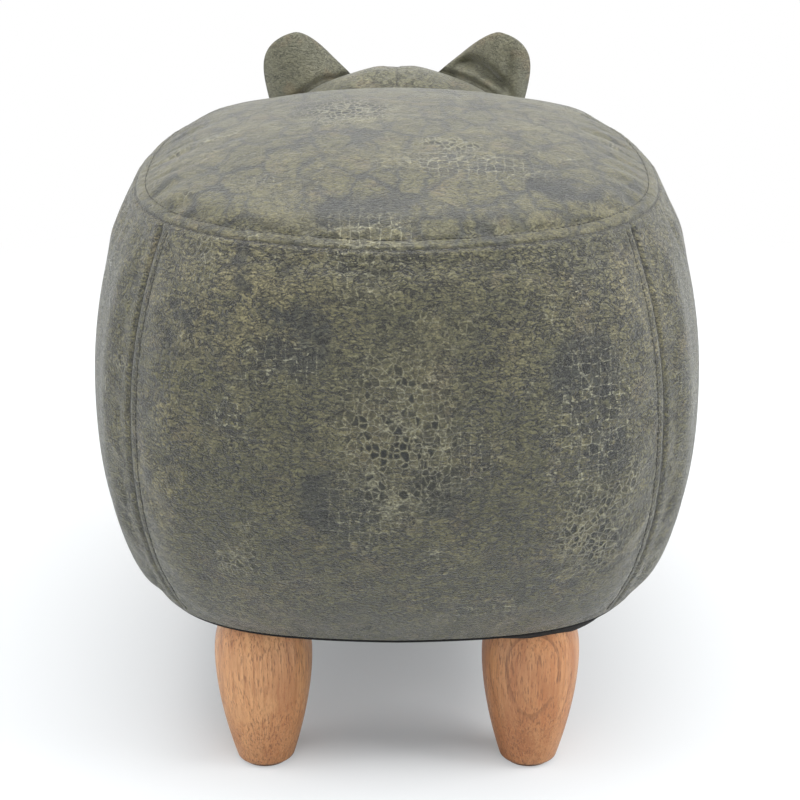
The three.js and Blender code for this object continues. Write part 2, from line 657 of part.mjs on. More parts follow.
function makeHeadSolid(depth) {
  const angles = steps(4 * HEAD_STEPS_QUARTER, 0, 2 * Math.PI).slice(0, -1);
  const rows = HEAD_ROWS.map((along) => angles.map((angle) => headOffset(along, angle, depth)));
  rows.forEach((row, i) => i || row.forEach((point) => point.setY(NECK_Y)));
  const ends = [0, 1].map((along) =>
    angles.map(() =>
      along
        ? headOffset(1, 0, depth)
        : new THREE.Vector3(0, NECK_Y, BASE_Z + MOUTH_HEIGHT + MOUTH_SLOPE_HEIGHT),
    ),
  );
  return closedSkin([ends[0], ...rows, ends[1]]);
}

// A panel of the head's cover, with its part of the gap left along both edges.
function makeHeadPanel(from, to, count, exponent) {
  const gap = (FIT_GAP / HEAD_WIDTH) ** (exponent / 2);
  const layer = (depth) => headPatch(from + gap, to - gap, count, depth);
  return slab(layer(0), layer(COVER_THICKNESS));
}

function headBoardShape(grow) {
  const shape = new THREE.Shape();
  const radii = [HEAD_BOARD_WIDTH / 2 + grow, HEAD_BOARD_HEIGHT / 2 + grow];
  shape.absellipse(0, 0, ...radii, 0, Math.PI * 2, false, 0);
  return shape;
}

// Stands the head board up against the front of the body, its holes drilled.
function makeHeadBoard(grow) {
  const back = -FRONT_Y + FIT_GAP;
  const board = plate(headBoardShape(grow), back - grow, back + HEAD_BOARD_THICKNESS + grow);
  return towardsNose(board, { x: 0, z: BASE_Z + HEAD_BOARD_MIDDLE_HEIGHT });
}

// A frame on the head's skin, its Z axis along the way out.
function onHead(along, angle, out) {
  const place = headOffset(along, angle, -out);
  const turn = new THREE.Quaternion().setFromUnitVectors(
    new THREE.Vector3(0, 0, 1),
    headNormal(along, angle),
  );
  return new THREE.Matrix4().compose(place, turn, new THREE.Vector3(1, 1, 1));
}

function eyeAngle(side) {
  const angle = THREE.MathUtils.degToRad(EYE_ANGLE_DEG);
  return side === "left" ? angle : Math.PI - angle;
}

function makeEye() {
  const stem = EYE_STEM_DIAMETER / 2;
  const dome = steps(4, 0, Math.PI / 2).map((angle) => [
    (EYE_DIAMETER / 2) * Math.cos(angle),
    EYE_HEIGHT * Math.sin(angle),
  ]);
  return turned([[0, -EYE_STEM_LENGTH], [stem, -EYE_STEM_LENGTH], [stem, 0], ...dome], SCREW_SIDES);
}

// Depth of an eye's washer below the eye's flat back.
const WASHER_DEPTH = EYE_STANDOFF_HEIGHT + INNER_COVER + EYE_WASHER_SETBACK_DEPTH;

function makeEyeWasher() {
  const bore = EYE_STEM_DIAMETER / 2 + FIT_GAP;
  const rim = EYE_WASHER_DIAMETER / 2;
  const [low, high] = [-WASHER_DEPTH - EYE_WASHER_THICKNESS, -WASHER_DEPTH];
  return turned([[bore, low], [rim, low], [rim, high], [bore, high], [bore, low]], SCREW_SIDES);
}

// What the foam leaves free for an eye's stem and washer.
function makeEyeSocket() {
  const room = EYE_WASHER_DIAMETER + 2 * FIT_GAP;
  return rod(room, -EYE_STEM_LENGTH - FIT_GAP, CUT_OVERRUN, SCREW_SIDES);
}

function makeNostril(side) {
  const turn = THREE.MathUtils.degToRad(NOSTRIL_ANGLE_DEG);
  const angle = side === "left" ? turn : Math.PI - turn;
  const at = NOSTRIL_PLACE_SHARE;
  const step = DERIVATIVE_STEP;
  const perAlong = headPoint(at + step, angle).distanceTo(headPoint(at - step, angle)) / (2 * step);
  const perAngle = headPoint(at, angle + step).distanceTo(headPoint(at, angle - step)) / (2 * step);
  const rings = [0, 0.45, 0.8, 1];
  const layer = (height) =>
    rings.map((share) =>
      steps(SCREW_SIDES, 0, 2 * Math.PI)
        .slice(0, -1)
        .map((way) =>
          headOffset(
            at + (share * Math.cos(way) * NOSTRIL_LENGTH) / 2 / perAlong,
            angle + (share * Math.sin(way) * NOSTRIL_WIDTH) / 2 / perAngle,
            -height(share),
          ),
        ),
    );
  const outer = layer((share) => FIT_GAP + NOSTRIL_THICKNESS * (1 - (share * share) / 2));
  return slab(outer, layer(() => FIT_GAP), true);
}

// Ears. Across runs from -1 to 1, up from the root at 0 to the tip at 1, and the depth is towards
// the open side.

function earPlace(side) {
  const sign = side === "left" ? 1 : -1;
  const lean = THREE.MathUtils.degToRad(EAR_LEAN_DEG) * sign;
  const turn = THREE.MathUtils.degToRad(EAR_TURN_DEG) * sign;
  const rotation = new THREE.Matrix4()
    .makeRotationY(lean)
    .multiply(new THREE.Matrix4().makeRotationZ(turn));
  const place = new THREE.Matrix4().makeTranslation(
    (sign * EAR_SPACING) / 2,
    NOSE_Y + EAR_SETBACK_LENGTH,
    BASE_Z + EAR_BASE_HEIGHT,
  );
  return place.multiply(rotation);
}

// Half the width of an ear: straight outside, and sloping out to a broad foot towards the head.
function earHalfWidth(outside, up) {
  const exponent = outside ? EAR_OUTER_TIP_EXPONENT : EAR_INNER_TIP_EXPONENT;
  const round = (1 - up ** exponent) ** (1 / EAR_ROUND_EXPONENT);
  const share = outside
    ? 1 - EAR_OUTER_TAPER_SHARE * (1 - up)
    : EAR_INNER_TIP_SHARE + EAR_FLARE_SHARE * (EAR_INNER_TIP_LEVEL - up);
  return (EAR_WIDTH / 2) * round * share;
}

function earPoint(across, up, depth, sign) {
  const full = EAR_HEIGHT + EAR_ROOT_DEPTH;
  const x = across * earHalfWidth(across * sign > 0, up);
  const cup = EAR_CUP_DEPTH * (1 - Math.min((2 * Math.abs(x)) / EAR_WIDTH, 1) ** 2);
  return new THREE.Vector3(x, cup - depth, up * full - EAR_ROOT_DEPTH);
}

function earPuff(across, up) {
  return (EAR_FOAM_THICKNESS / 2) * (1 - across * across) * (1 - up * up);
}

// A layer of an ear. The foam leaves out the rim, where the two covers are sewn together.
function makeEarLayer(sign, from, to, rim = true) {
  const ups = steps(EAR_STEPS, 0, Math.PI / 2).map((angle) => Math.sin(angle));
  const acrosses = steps(EAR_STEPS, -1, 1);
  const rows = rim ? ups : ups.slice(0, -2);
  const columns = rim ? acrosses : acrosses.slice(1, -1);
  const layer = (depth) =>
    rows.map((u) => columns.map((a) => earPoint(a, u, depth(a, u), sign)));
  return slab(layer(to), layer(from));
}

function makeEars(headSkin) {
  const half = FIT_GAP / 2;
  const front = (a, u) => earPuff(a, u) + half;
  const back = (a, u) => -earPuff(a, u) - half;
  for (const side of ["left", "right"]) {
    const place = earPlace(side);
    const sign = side === "left" ? 1 : -1;
    const fit = (layer) => cut(layer.applyMatrix4(place), [headSkin]);
    const shell = (a, u) => front(a, u) + COVER_THICKNESS;
    const backShell = (a, u) => back(a, u) - COVER_THICKNESS;
    add(`ear_front_${side}`, "leather", fit(makeEarLayer(sign, front, shell)));
    add(`ear_back_${side}`, "leather", fit(makeEarLayer(sign, backShell, back)));
    const stuffing = [(a, u) => back(a, u) + FIT_GAP, (a, u) => front(a, u) - FIT_GAP];
    add(`ear_foam_${side}`, "foam", fit(makeEarLayer(sign, ...stuffing, false)));
  }
}

// Everything together

function makeBody() {
  const boltHoles = headBoltHoles(BOLT_DIAMETER + 2 * FIT_GAP);
  add("seat_cover", "leather", makeSeatCover());
  add("seat_foam", "foam", makeSeatFoam());
  PANELS.forEach((name, panel) => {
    const cover = makeSideCover(panel);
    const pad = makeSidePad(panel);
    const drilled = name === "front";
    add(`${name}_cover`, "leather", drilled ? cut(cover, boltHoles) : cover);
    add(`${name}_pad`, "foam", drilled ? cut(pad, boltHoles) : pad);
  });
  const dustTop = DUST_COVER_Z + DUST_COVER_THICKNESS;
  const holes = BOLT_DIAMETER + 2 * FIT_GAP;
  add("dust_cover", "black_cloth", drilledBase(DUST_COVER_INSET_WIDTH, DUST_COVER_Z, dustTop, holes));
}

function makeHead() {
  const bodySkin = makeBodyEnvelope(FIT_GAP);
  const half = Math.PI;
  const quarter = half / 2;
  const sockets = [];
  const stems = [];
  for (const side of ["left", "right"]) {
    const place = onHead(EYE_PLACE_SHARE, eyeAngle(side), EYE_STANDOFF_HEIGHT);
    sockets.push(makeEyeSocket().applyMatrix4(place));
    stems.push(
      rod(EYE_STEM_DIAMETER + 2 * FIT_GAP, -EYE_STEM_LENGTH, CUT_OVERRUN).applyMatrix4(place),
    );
    add(`eye_${side}`, "black_plastic", makeEye().applyMatrix4(place));
    add(`eye_washer_${side}`, "steel", makeEyeWasher().applyMatrix4(place));
    add(`nostril_${side}`, "nostril_leather", makeNostril(side));
  }
  const upper = (from) =>
    makeHeadPanel(from, from + quarter, HEAD_STEPS_QUARTER, HEAD_UPPER_EXPONENT);
  add("head_cover_left", "leather", cut(upper(0), [bodySkin, stems[0]]));
  add("head_cover_right", "leather", cut(upper(quarter), [bodySkin, stems[1]]));
  const jaw = makeHeadPanel(half, 2 * half, 2 * HEAD_STEPS_QUARTER, HEAD_LOWER_EXPONENT);
  add("jaw_cover", "leather", cut(jaw, [bodySkin]));

  const boardFront = -FRONT_Y + FIT_GAP + HEAD_BOARD_THICKNESS;
  const nutFace = boardFront + FIT_GAP;
  const boltTip = boardFront + HEAD_BOLT_TIP_LENGTH;
  const boltSeat = FRAME_LENGTH / 2 - FRAME_BOARD_THICKNESS - FIT_GAP;
  const nutHole = TEE_BARREL_DIAMETER + 2 * FIT_GAP;
  const nutRoom = TEE_FLANGE_DIAMETER + 2 * FIT_GAP;
  const boardBack = boardFront - HEAD_BOARD_THICKNESS;
  const nutHoles = headBoltPlaces().map((place) =>
    towardsNose(rod(nutHole, boardBack - CUT_OVERRUN, boardFront + CUT_OVERRUN), place),
  );
  const nutRooms = headBoltPlaces().map((place) =>
    towardsNose(rod(nutRoom, boardFront - FIT_GAP, boltTip + FIT_GAP), place),
  );
  const behind = headBoltPlaces().map((place) =>
    towardsNose(rod(BOLT_DIAMETER + 2 * FIT_GAP, boltSeat, boltTip), place),
  );
  add("head_board", "board", cut(makeHeadBoard(0), nutHoles));
  const tools = [bodySkin, makeHeadBoard(FIT_GAP), ...nutRooms, ...behind, ...sockets];
  add("head_foam", "foam", cut(makeHeadSolid(INNER_COVER), tools));
  for (const place of headBoltPlaces()) {
    const cap = HEAD_BOLT_CAP_DIAMETER / 2;
    const shank = BOLT_DIAMETER / 2;
    const bolt = turned(
      [
        [0, boltSeat - HEAD_BOLT_CAP_HEIGHT],
        [cap, boltSeat - HEAD_BOLT_CAP_HEIGHT],
        [cap, boltSeat],
        [shank, boltSeat],
        [shank, boltTip],
        [0, boltTip],
      ],
      SCREW_SIDES,
    );
    add(`head_bolt_${place.side}`, "steel", towardsNose(bolt, place));
    add(`head_tee_nut_${place.side}`, "steel", towardsNose(teeNut(nutFace), place));
  }
  makeEars(makeHeadSolid(-FIT_GAP));
}

makeLegs();
makeFrame();
makeBody();
makeHead();

export default stool;
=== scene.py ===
"""Looks of a hippo footstool: sewn cover panels over foam, turned wooden legs, a stuffed head.

Everything is in metres. +Z is up, the head looks towards -Y, and the animal's left is +X.
"""

import json
import math

import bpy
from mathutils import Matrix, Vector, noise
from mathutils.bvhtree import BVHTree

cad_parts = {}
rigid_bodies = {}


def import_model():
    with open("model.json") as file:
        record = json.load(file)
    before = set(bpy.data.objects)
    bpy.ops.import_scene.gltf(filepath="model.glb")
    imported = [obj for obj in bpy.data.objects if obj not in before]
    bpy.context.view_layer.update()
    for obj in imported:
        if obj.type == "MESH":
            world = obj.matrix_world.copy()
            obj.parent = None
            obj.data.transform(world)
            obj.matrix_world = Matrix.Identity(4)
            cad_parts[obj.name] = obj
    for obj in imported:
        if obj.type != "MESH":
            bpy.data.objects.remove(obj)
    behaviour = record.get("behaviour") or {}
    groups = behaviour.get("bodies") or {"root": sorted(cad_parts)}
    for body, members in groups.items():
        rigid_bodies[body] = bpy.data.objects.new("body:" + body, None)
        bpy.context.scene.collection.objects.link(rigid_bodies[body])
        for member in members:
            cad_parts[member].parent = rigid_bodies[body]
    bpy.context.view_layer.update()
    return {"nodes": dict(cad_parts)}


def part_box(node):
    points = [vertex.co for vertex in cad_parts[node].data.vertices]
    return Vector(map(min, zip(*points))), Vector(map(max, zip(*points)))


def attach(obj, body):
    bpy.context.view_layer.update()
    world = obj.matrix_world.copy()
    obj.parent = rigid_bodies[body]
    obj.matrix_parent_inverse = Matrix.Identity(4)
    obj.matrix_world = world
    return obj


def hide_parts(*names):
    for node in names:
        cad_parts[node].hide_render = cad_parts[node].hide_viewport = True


bl_info = {
    "name": "Hippo Footstool",
    "version": (1, 0, 0),
    "blender": (4, 5, 0),
    "location": "View3D > Sidebar > Footstool",
    "description": "Builds the cover, stitching, head, ears and legs of a hippo footstool",
    "category": "Add Mesh",
}

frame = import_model()

MM = 0.001
ROOT = "root"
SIDES = ("left", "rear", "right", "front")
HANDS = {"left": 1, "right": -1}
LEG_NAMES = ("rear_left", "rear_right", "front_left", "front_right")
PAD_NAMES = [f"{side}_pad" for side in SIDES]

# Levels and lengths that the frame gives
REAR_LOW, REAR_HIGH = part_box("rear_cover")
LEG_LOW, LEG_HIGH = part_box("leg_rear_left")
GLIDE_LOW, GLIDE_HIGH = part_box("glide_rear_left")
DUST_LOW, DUST_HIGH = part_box("dust_cover")
FRONT_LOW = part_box("front_cover")[0]
HEAD_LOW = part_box("jaw_cover")[0]
SEAT_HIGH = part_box("seat_cover")[1]
LEFT_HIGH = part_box("left_cover")[1]
BASE_Z = REAR_LOW.z
SEAM_Z = REAR_HIGH.z
BODY_Y = (REAR_HIGH.y + FRONT_LOW.y) / 2

# Shares of the head's full width, rise and drop, from the neck to the muzzle
HEAD_WIDTH_SHARES = (0.76, 0.93, 0.93, 0.88, 1, 0.98)
HEAD_RISE_SHARES = (0.6, 0.97, 1, 0.84, 0.8, 0.86)
JAW_DROP_SHARES = (0.4, 0.7, 0.9, 1, 0.98, 0.82)

# Distances of the grid lines from a seam, close together where the cover rolls in and is stitched
SEAM_LINES = [d * MM for d in (0, 0.6, 1.3, 2.1, 3.2, 4.2, 4.8, 5.4, 6.2, 7.4, 9.2, 12, 16, 21)]
HEM_LINES = [d * MM for d in (0.5, 1.4, 3, 6, 12)]
HEAD_GRID = 5.5 * MM

# How the covers are made: how far the sewing holds them, how far they may fill out, how deep the
# head's gathers are, how thick the ears' soft leather is, and half an ear's thickness at its rim
SEWN_FADE = 6 * MM
NO_FADE = 1e-9
SEWN_REACH = 3 * MM
HEAD_SWELL = 4 * MM
HEAD_PUCKER = 0.8 * MM
EAR_SWELL = 1.2 * MM
EAR_LEATHER = 0.8 * MM
EAR_WALL = 0.0017
WELD_GAP = 0.02 * MM

# Before it is filled out, a panel lies in by a share of its swell, from one distance to another
# from its seam
START_SHARE = 0.8
START_FROM, START_FULL = 0.006, 0.045

# Half the width of the groove that topstitching pulls in, and where a seam's own roll ends
STITCH_GROOVE = 1.1 * MM
ROLL_END = 2.5 * MM

# The edge distance of points that lie far from every seam, and of a side panel's bottom edge
FAR_FROM_EDGE = 0.05
HEM_EDGE = 0.002

# How far along the head its width is measured
MEASURED_ALONG = 0.35

# An eye stands off the head by this gap, and a nostril is a patch of this thickness
EYE_GAP = 1.3 * MM
NOSTRIL_THICKNESS = 1.2 * MM

# Pads: their voxels, how far they shrink, and the gap under which points are joined
PAD_VOXEL = 5 * MM
PAD_SHRINK = 1.6 * MM
JOIN_GAP = 0.01 * MM

ZINC = (0.56, 0.57, 0.58)
BLACK_PLASTIC = (0.010, 0.010, 0.011)
NOSTRIL_LEATHER = (0.032, 0.031, 0.027)
BLACK_CLOTH = (0.004, 0.004, 0.004)


def metres(name, description, default):
    return bpy.props.FloatProperty(
        name=name,
        description=description,
        default=default,
        min=0,
        subtype="DISTANCE",
        unit="LENGTH",
        precision=4,
    )


def factor(name, description, default):
    return bpy.props.FloatProperty(name=name, description=description, default=default)


def degrees(name, description, angle):
    return bpy.props.FloatProperty(
        name=name, description=description, default=math.radians(angle), subtype="ANGLE"
    )


def tint(name, description, default):
    return bpy.props.FloatVectorProperty(
        name=name, description=description, default=default, size=3, min=0, max=1, subtype="COLOR"
    )


class BodySizes(bpy.types.PropertyGroup):
    """Form of the upholstered body."""

    width: metres("Width", "Widest level, side to side", 2 * LEFT_HIGH.x)
    length: metres("Length", "Widest level, end to end", REAR_HIGH.y - FRONT_LOW.y)
    side_height: metres("Side height", "Bottom edge to seat seam", SEAM_Z - BASE_Z)
    crown: metres("Crown", "Seat seam to the top of the seat", SEAT_HIGH.z - SEAM_Z)
    seam_side_inset: metres("Seam side inset", "Widest level to the seam, sides", 0.024)
    seam_end_inset: metres("Seam end inset", "Widest level to the seam, ends", 0.017)
    base_side_inset: metres("Base side inset", "Widest level to the hem, sides", 0.025)
    base_end_inset: metres("Base end inset", "Widest level to the hem, ends", 0.051)
    end_bow: metres("End bow", "Bow of the ends at the widest level", 0.026)
    seam_end_bow: metres("Seam end bow", "Bow of the ends at the seat seam", 0.044)
    base_end_bow: metres("Base end bow", "Bow of the ends at the bottom edge", 0.016)
    side_bow: metres("Side bow", "Bow of the sides at every level", 0.012)
    widest_share: factor("Widest level", "Share of the side height", 0.5)
    squareness: factor("Squareness", "Exponent of the outline from above", 4.2)
    bow_exponent: factor("Bow exponent", "How evenly a side bows", 1.5)
    upper_exponent: factor("Upper fullness", "Side above its widest level", 2.2)
    lower_exponent: factor("Lower fullness", "Side below its widest level", 2.3)
    crown_exponent: factor("Crown fullness", "How square the seat's crown is", 2.6)
    crown_flat: factor("Crown flat", "Share of the seat that lies flat", 0.14)
    cover_thickness: metres("Cover thickness", "Thickness of the cover", 0.0015)
    hem: metres("Hem", "Cover turned in under the base board", 0.022)
    grid: metres("Grid", "Spacing of the points of a panel", 0.006)
    seam_depth: metres("Seam depth", "How far the cover rolls in at a seam", 0.0018)
    seam_roll: metres("Seam roll", "How far from a seam the roll starts", 0.0015)
    stitch_inset: metres("Stitch inset", "Seam to its topstitching", 0.0048)
    seat_stitch_inset: metres("Seat stitch inset", "Seat seam to topstitching", 0.0074)
    stitch_depth: metres("Stitch depth", "How far a topstitch pulls in", 0.0006)
    swell: metres("Swell", "How far a panel may fill out over its pad", 0.005)
    stitch_pitch: metres("Stitch pitch", "Stitch to stitch", 0.0036)
    thread: metres("Thread", "Thickness of the sewing thread", 0.0008)


class HeadSizes(bpy.types.PropertyGroup):
    """Form of the head, its ears, eyes and nostrils."""

    neck_depth: metres("Neck depth", "Start of the head inside the body", 0.046)
    side_inset: metres("Side inset", "Side of the body to side of the head", 0.061)
    mouth_height: metres("Mouth height", "Bottom edge to the mouth", 0.088)
    mouth_slope: metres("Mouth slope", "Rise of the mouth towards the neck", 0.030)
    rise: metres("Rise", "Mouth line to the top of the head", 0.126)
    ridge: metres("Ridge", "Raised by the seam down the middle", 0.013)
    drop: metres("Jaw drop", "Mouth line to the chin", 0.062)
    upper_exponent: factor("Upper squareness", "Section above the mouth", 3.1)
    lower_exponent: factor("Lower squareness", "Section below the mouth", 2.15)
    ridge_exponent: factor("Ridge sharpness", "How narrow the ridge is", 2.5)
    muzzle_start: factor("Muzzle start", "Where the muzzle starts to close", 0.6)
    muzzle_exponent: factor("Muzzle squareness", "How blunt the muzzle is", 3.0)
    ear_width: metres("Ear width", "Widest part of an ear", 0.057)
    ear_height: metres("Ear height", "Skin of the head to the tip", 0.062)
    ear_root: metres("Ear root", "Part of the ear below the skin", 0.024)
    ear_cup: metres("Ear cup", "Hollow of the ear", 0.012)
    ear_foam: metres("Ear foam", "Thickest part of the ear's foam", 0.006)
    ear_side_inset: metres("Ear side inset", "Side of the head to the ear", 0.050)
    ear_setback: metres("Ear setback", "Tip of the muzzle to the ears", 0.158)
    ear_base: metres("Ear base", "Bottom edge to the foot of the ear", 0.214)
    ear_lean: degrees("Ear lean", "Leaning outwards", 11)
    ear_turn: degrees("Ear turn", "Open side turned outwards", 16)
    ear_flare: factor("Ear flare", "How broad an ear's foot is towards the head", 2.1)
    ear_fold: metres("Ear fold", "Depth of the fold at the foot of the right ear", 0.010)
    eye_place: factor("Eye place", "Along the head, neck to tip", 0.43)
    eye_angle: degrees("Eye angle", "Above the mouth line", 46)
    nostril_place: factor("Nostril place", "Along the head, neck to tip", 0.7)
    nostril_angle: degrees("Nostril angle", "Above the mouth line", 60)


class LegSizes(bpy.types.PropertyGroup):
    """Form of the turned legs and their glides."""

    height: metres("Height", "Foot to top", LEG_HIGH.z - LEG_LOW.z)
    diameter: metres("Diameter", "Widest part", LEG_HIGH.x - LEG_LOW.x)
    top_diameter: metres("Top diameter", "Under the body", 0.046)
    foot_diameter: metres("Foot diameter", "At the floor", 0.033)
    widest_height: metres("Widest height", "Foot to the widest part", 0.066)
    lower_exponent: factor("Lower curve", "Fullness below the widest part", 1.75)
    upper_exponent: factor("Upper curve", "Fullness above the widest part", 2.4)


class Finishes(bpy.types.PropertyGroup):
    """Colours, as linear values."""

    olive: tint("Olive", "Main colour of the cover", (0.084, 0.080, 0.041))
    khaki: tint("Khaki", "Paler patches of the cover", (0.158, 0.140, 0.072))
    khaki_pale: tint("Pale khaki", "Worn flecks of the cover", (0.235, 0.205, 0.110))
    grey: tint("Grey", "Plain leather of the head", (0.090, 0.091, 0.076))
    slate: tint("Slate", "Cool blotches of the cover", (0.036, 0.039, 0.036))
    rust: tint("Rust", "Warm tint of the cover", (0.128, 0.098, 0.060))
    pale: tint("Pale", "Worn lines of the cover", (0.310, 0.300, 0.215))
    ink: tint("Ink", "Dark scales of the cover", (0.020, 0.022, 0.019))
    thread: tint("Thread", "Sewing thread", (0.060, 0.058, 0.048))
    wood_light: tint("Light wood", "Early wood of the legs", (0.700, 0.362, 0.155))
    wood_dark: tint("Dark wood", "Late wood of the legs", (0.420, 0.150, 0.048))
    foam: tint("Foam", "Foam pads", (0.760, 0.680, 0.450))
    board: tint("Board", "Frame boards", (0.520, 0.370, 0.210))
    pine: tint("Pine", "Corner blocks", (0.640, 0.440, 0.230))
    felt: tint("Felt", "Glides under the feet", (0.230, 0.130, 0.070))
    floor: tint("Floor", "Floor and backdrop", (0.86, 0.88, 0.895))


class StageSettings(bpy.types.PropertyGroup):
    """Camera, lamps and floor."""

    camera_y: factor("Camera Y", "Place of the camera behind the stool", 1.1623)
    camera_z: factor("Camera Z", "Height of the camera", 0.5485)
    pitch: degrees("Pitch", "How far the camera looks down", 19.25)
    lens: factor("Lens", "Focal length in millimetres on a 36 mm sensor", 80.35)
    shift: factor("Shift", "Sideways shift, as a share of the width", 0.00375)
    sky: factor("Sky", "Strength of the world's light", 0.52)
    top_lamp: factor("Top lamp", "Power of the lamp overhead, in watts", 46.0)
    right_lamp: factor("Right lamp", "Power of the lamp at the right, in watts", 36.0)
    left_lamp: factor("Left lamp", "Power of the lamp at the left, in watts", 19.0)
    fill_lamp: factor("Fill lamp", "Power of the lamp behind the camera, in watts", 2.0)


# Small helpers


def mix(a, b, share):
    return a + (b - a) * share


def clamp(value, low=0.0, high=1.0):
    return min(max(value, low), high)


def smooth_step(value, low, high):
    share = clamp((value - low) / (high - low))
    return share * share * (3 - 2 * share)


def hill(value, middle, width):
    """1 at the middle, falling off evenly on both sides."""
    return math.exp(-(((value - middle) / width) ** 2))


def signed_power(value, exponent):
    return math.copysign(abs(value) ** exponent, value)


def spaced(start, end, gap):
    """Values from start to end, evenly spaced by about the gap."""
    count = max(1, round(abs(end - start) / gap))
    return [start + (end - start) * i / count for i in range(count + 1)]


def between_seams(length, gap, lines=SEAM_LINES):
    """Distances along a length that crowd together at both ends."""
    near = [line for line in lines if line < length / 2]
    middle = spaced(near[-1], length - near[-1], gap)
    return near + middle[1:-1] + [length - line for line in reversed(near)]


def crowded(half):
    """Values from -1 to 1 that crowd together at both ends."""
    return [math.sin(math.pi / 2 * (i / half - 1)) for i in range(2 * half + 1)]


def run_length(points):
    return sum((q - p).length for p, q in zip(points, points[1:]))


def halve(low, high, rounds, is_low):
    """Closes in on the place between low and high where a test stops being true."""
    for _ in range(rounds):
        middle = (low + high) / 2
        if is_low(middle):
            low = middle
        else:
            high = middle
    return low, high


def ring_place(u, v):
    """Panel and across of a point of the square, and how far it is from the middle, up to 1."""
    far = max(abs(u), abs(v), 1e-6)
    if abs(u) >= abs(v):
        return (0 if u > 0 else 2), (v / far if u > 0 else -v / far), far
    return (1 if v > 0 else 3), (-u / far if v > 0 else u / far), far


def outwards(surface, a, b, step=0.004):
    """The way out of a surface whose b runs to the left of its a, seen from outside."""
    along_a = surface(a + step, b) - surface(a - step, b)
    along_b = surface(a, b + step) - surface(a, b - step)
    return along_a.cross(along_b).normalized()


def deselect():
    if bpy.context.mode != "OBJECT":
        bpy.ops.object.mode_set(mode="OBJECT")
    bpy.ops.object.select_all(action="DESELECT")


def pick(piece):
    deselect()
    piece.select_set(True)
    bpy.context.view_layer.objects.active = piece


def apply_all(piece):
    """Applies every modifier of a piece, in order."""
    pick(piece)
    for modifier in list(piece.modifiers):
        bpy.ops.object.modifier_apply(modifier=modifier.name)


def edit_all(piece, *steps):
    """Runs steps of edit mode, each with its settings, on all of a piece."""
    pick(piece)
    bpy.ops.object.mode_set(mode="EDIT")
    for step, settings in steps:
        bpy.ops.mesh.select_all(action="SELECT")
        step(**settings)
    bpy.ops.object.mode_set(mode="OBJECT")


def weld(piece, gap):
    edit_all(piece, (bpy.ops.mesh.remove_doubles, {"threshold": gap}))


def link(name, data):
    """Puts new data in the scene."""
    made = bpy.data.objects.new(name, data)
    bpy.context.scene.collection.objects.link(made)
    return made


def primitive(name, kind, **settings):
    """A new piece from one of the built-in forms."""
    deselect()
    getattr(bpy.ops.mesh, f"primitive_{kind}_add")(**settings)
    piece = bpy.context.object
    piece.name = piece.data.name = name
    return piece


def copy_to(piece, name, move):
    """A copy with its own mesh, whose place is in its mesh."""
    twin = link(name, piece.data.copy())
    twin.data.name = name
    twin.data.transform(Matrix.Translation(move))
    return twin


def lay_grid(name, columns, rows, surface, edge=None, cut=0):
    """A grid laid over a form. Each point goes where the surface puts its column and row."""
    across, up = len(columns) - 1, len(rows) - 1
    piece = primitive(name, "grid", x_subdivisions=across, y_subdivisions=up, size=2)
    mesh = piece.data
    marks = mesh.attributes.new("edge_distance", "FLOAT", "POINT")
    cuts = mesh.attributes.new("cut_number", "FLOAT", "POINT")
    for number, point in enumerate(mesh.vertices):
        row, column = divmod(number, len(columns))
        point.co = surface(columns[column], rows[row])
        marks.data[number].value = edge(columns[column], rows[row]) if edge else FAR_FROM_EDGE
        cuts.data[number].value = cut
    mesh.update()
    return piece


def spin_profile(name, profile, steps, bend):
    """Turns a profile of radius and height pairs about the Z axis, smooth up to a bend."""
    mesh = bpy.data.meshes.new(name)
    edges = [(i, i + 1) for i in range(len(profile) - 1)]
    mesh.from_pydata([(r, 0, z) for r, z in profile], edges, [])
    piece = link(name, mesh)
    turn = {"steps": steps, "angle": 2 * math.pi, "center": (0, 0, 0), "axis": (0, 0, 1)}
    edit_all(
        piece,
        (bpy.ops.mesh.spin, turn),
        (bpy.ops.mesh.remove_doubles, {"threshold": JOIN_GAP}),
        (bpy.ops.mesh.normals_make_consistent, {"inside": False}),
    )
    bpy.ops.object.shade_smooth_by_angle(angle=math.radians(bend))
    return piece


def skin_of(pieces, keep=lambda face: True):
    """A search tree of finished pieces, or of those faces of theirs that are kept."""
    points, faces = [], []
    for piece in pieces:
        start = len(points)
        points += [point.co.copy() for point in piece.data.vertices]
        kept = [face for face in piece.data.polygons if keep(face)]
        faces += [[start + corner for corner in face.vertices] for face in kept]
    return BVHTree.FromPolygons(points, faces)


def dress(piece, material):
    piece.data.materials.clear()
    piece.data.materials.append(material)
    return piece


def finish_cover(piece, material, thickness, smooth=1):
    """Subdivides a panel, gives it its thickness inwards, and shades it smooth."""
    if smooth:
        round_off = piece.modifiers.new("Round off", "SUBSURF")
        round_off.levels = round_off.render_levels = smooth
    wall = piece.modifiers.new("Thickness", "SOLIDIFY")
    wall.thickness = thickness
    wall.offset = -1
    wall.use_even_offset = False
    apply_all(piece)
    bpy.ops.object.shade_smooth()
    dress(piece, material)


def settle(piece, slot, *nodes):
    """Lets a piece ride on the stool, in the stead of the frame's nodes."""
    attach(piece, ROOT)
    if nodes:
        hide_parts(*nodes)


# Body form. A panel is 0 left, 1 rear, 2 right or 3 front, and across runs from -1 to 1 along it,
# anticlockwise seen from above. Height is 0 at the bottom edge and 1 at the seat seam.


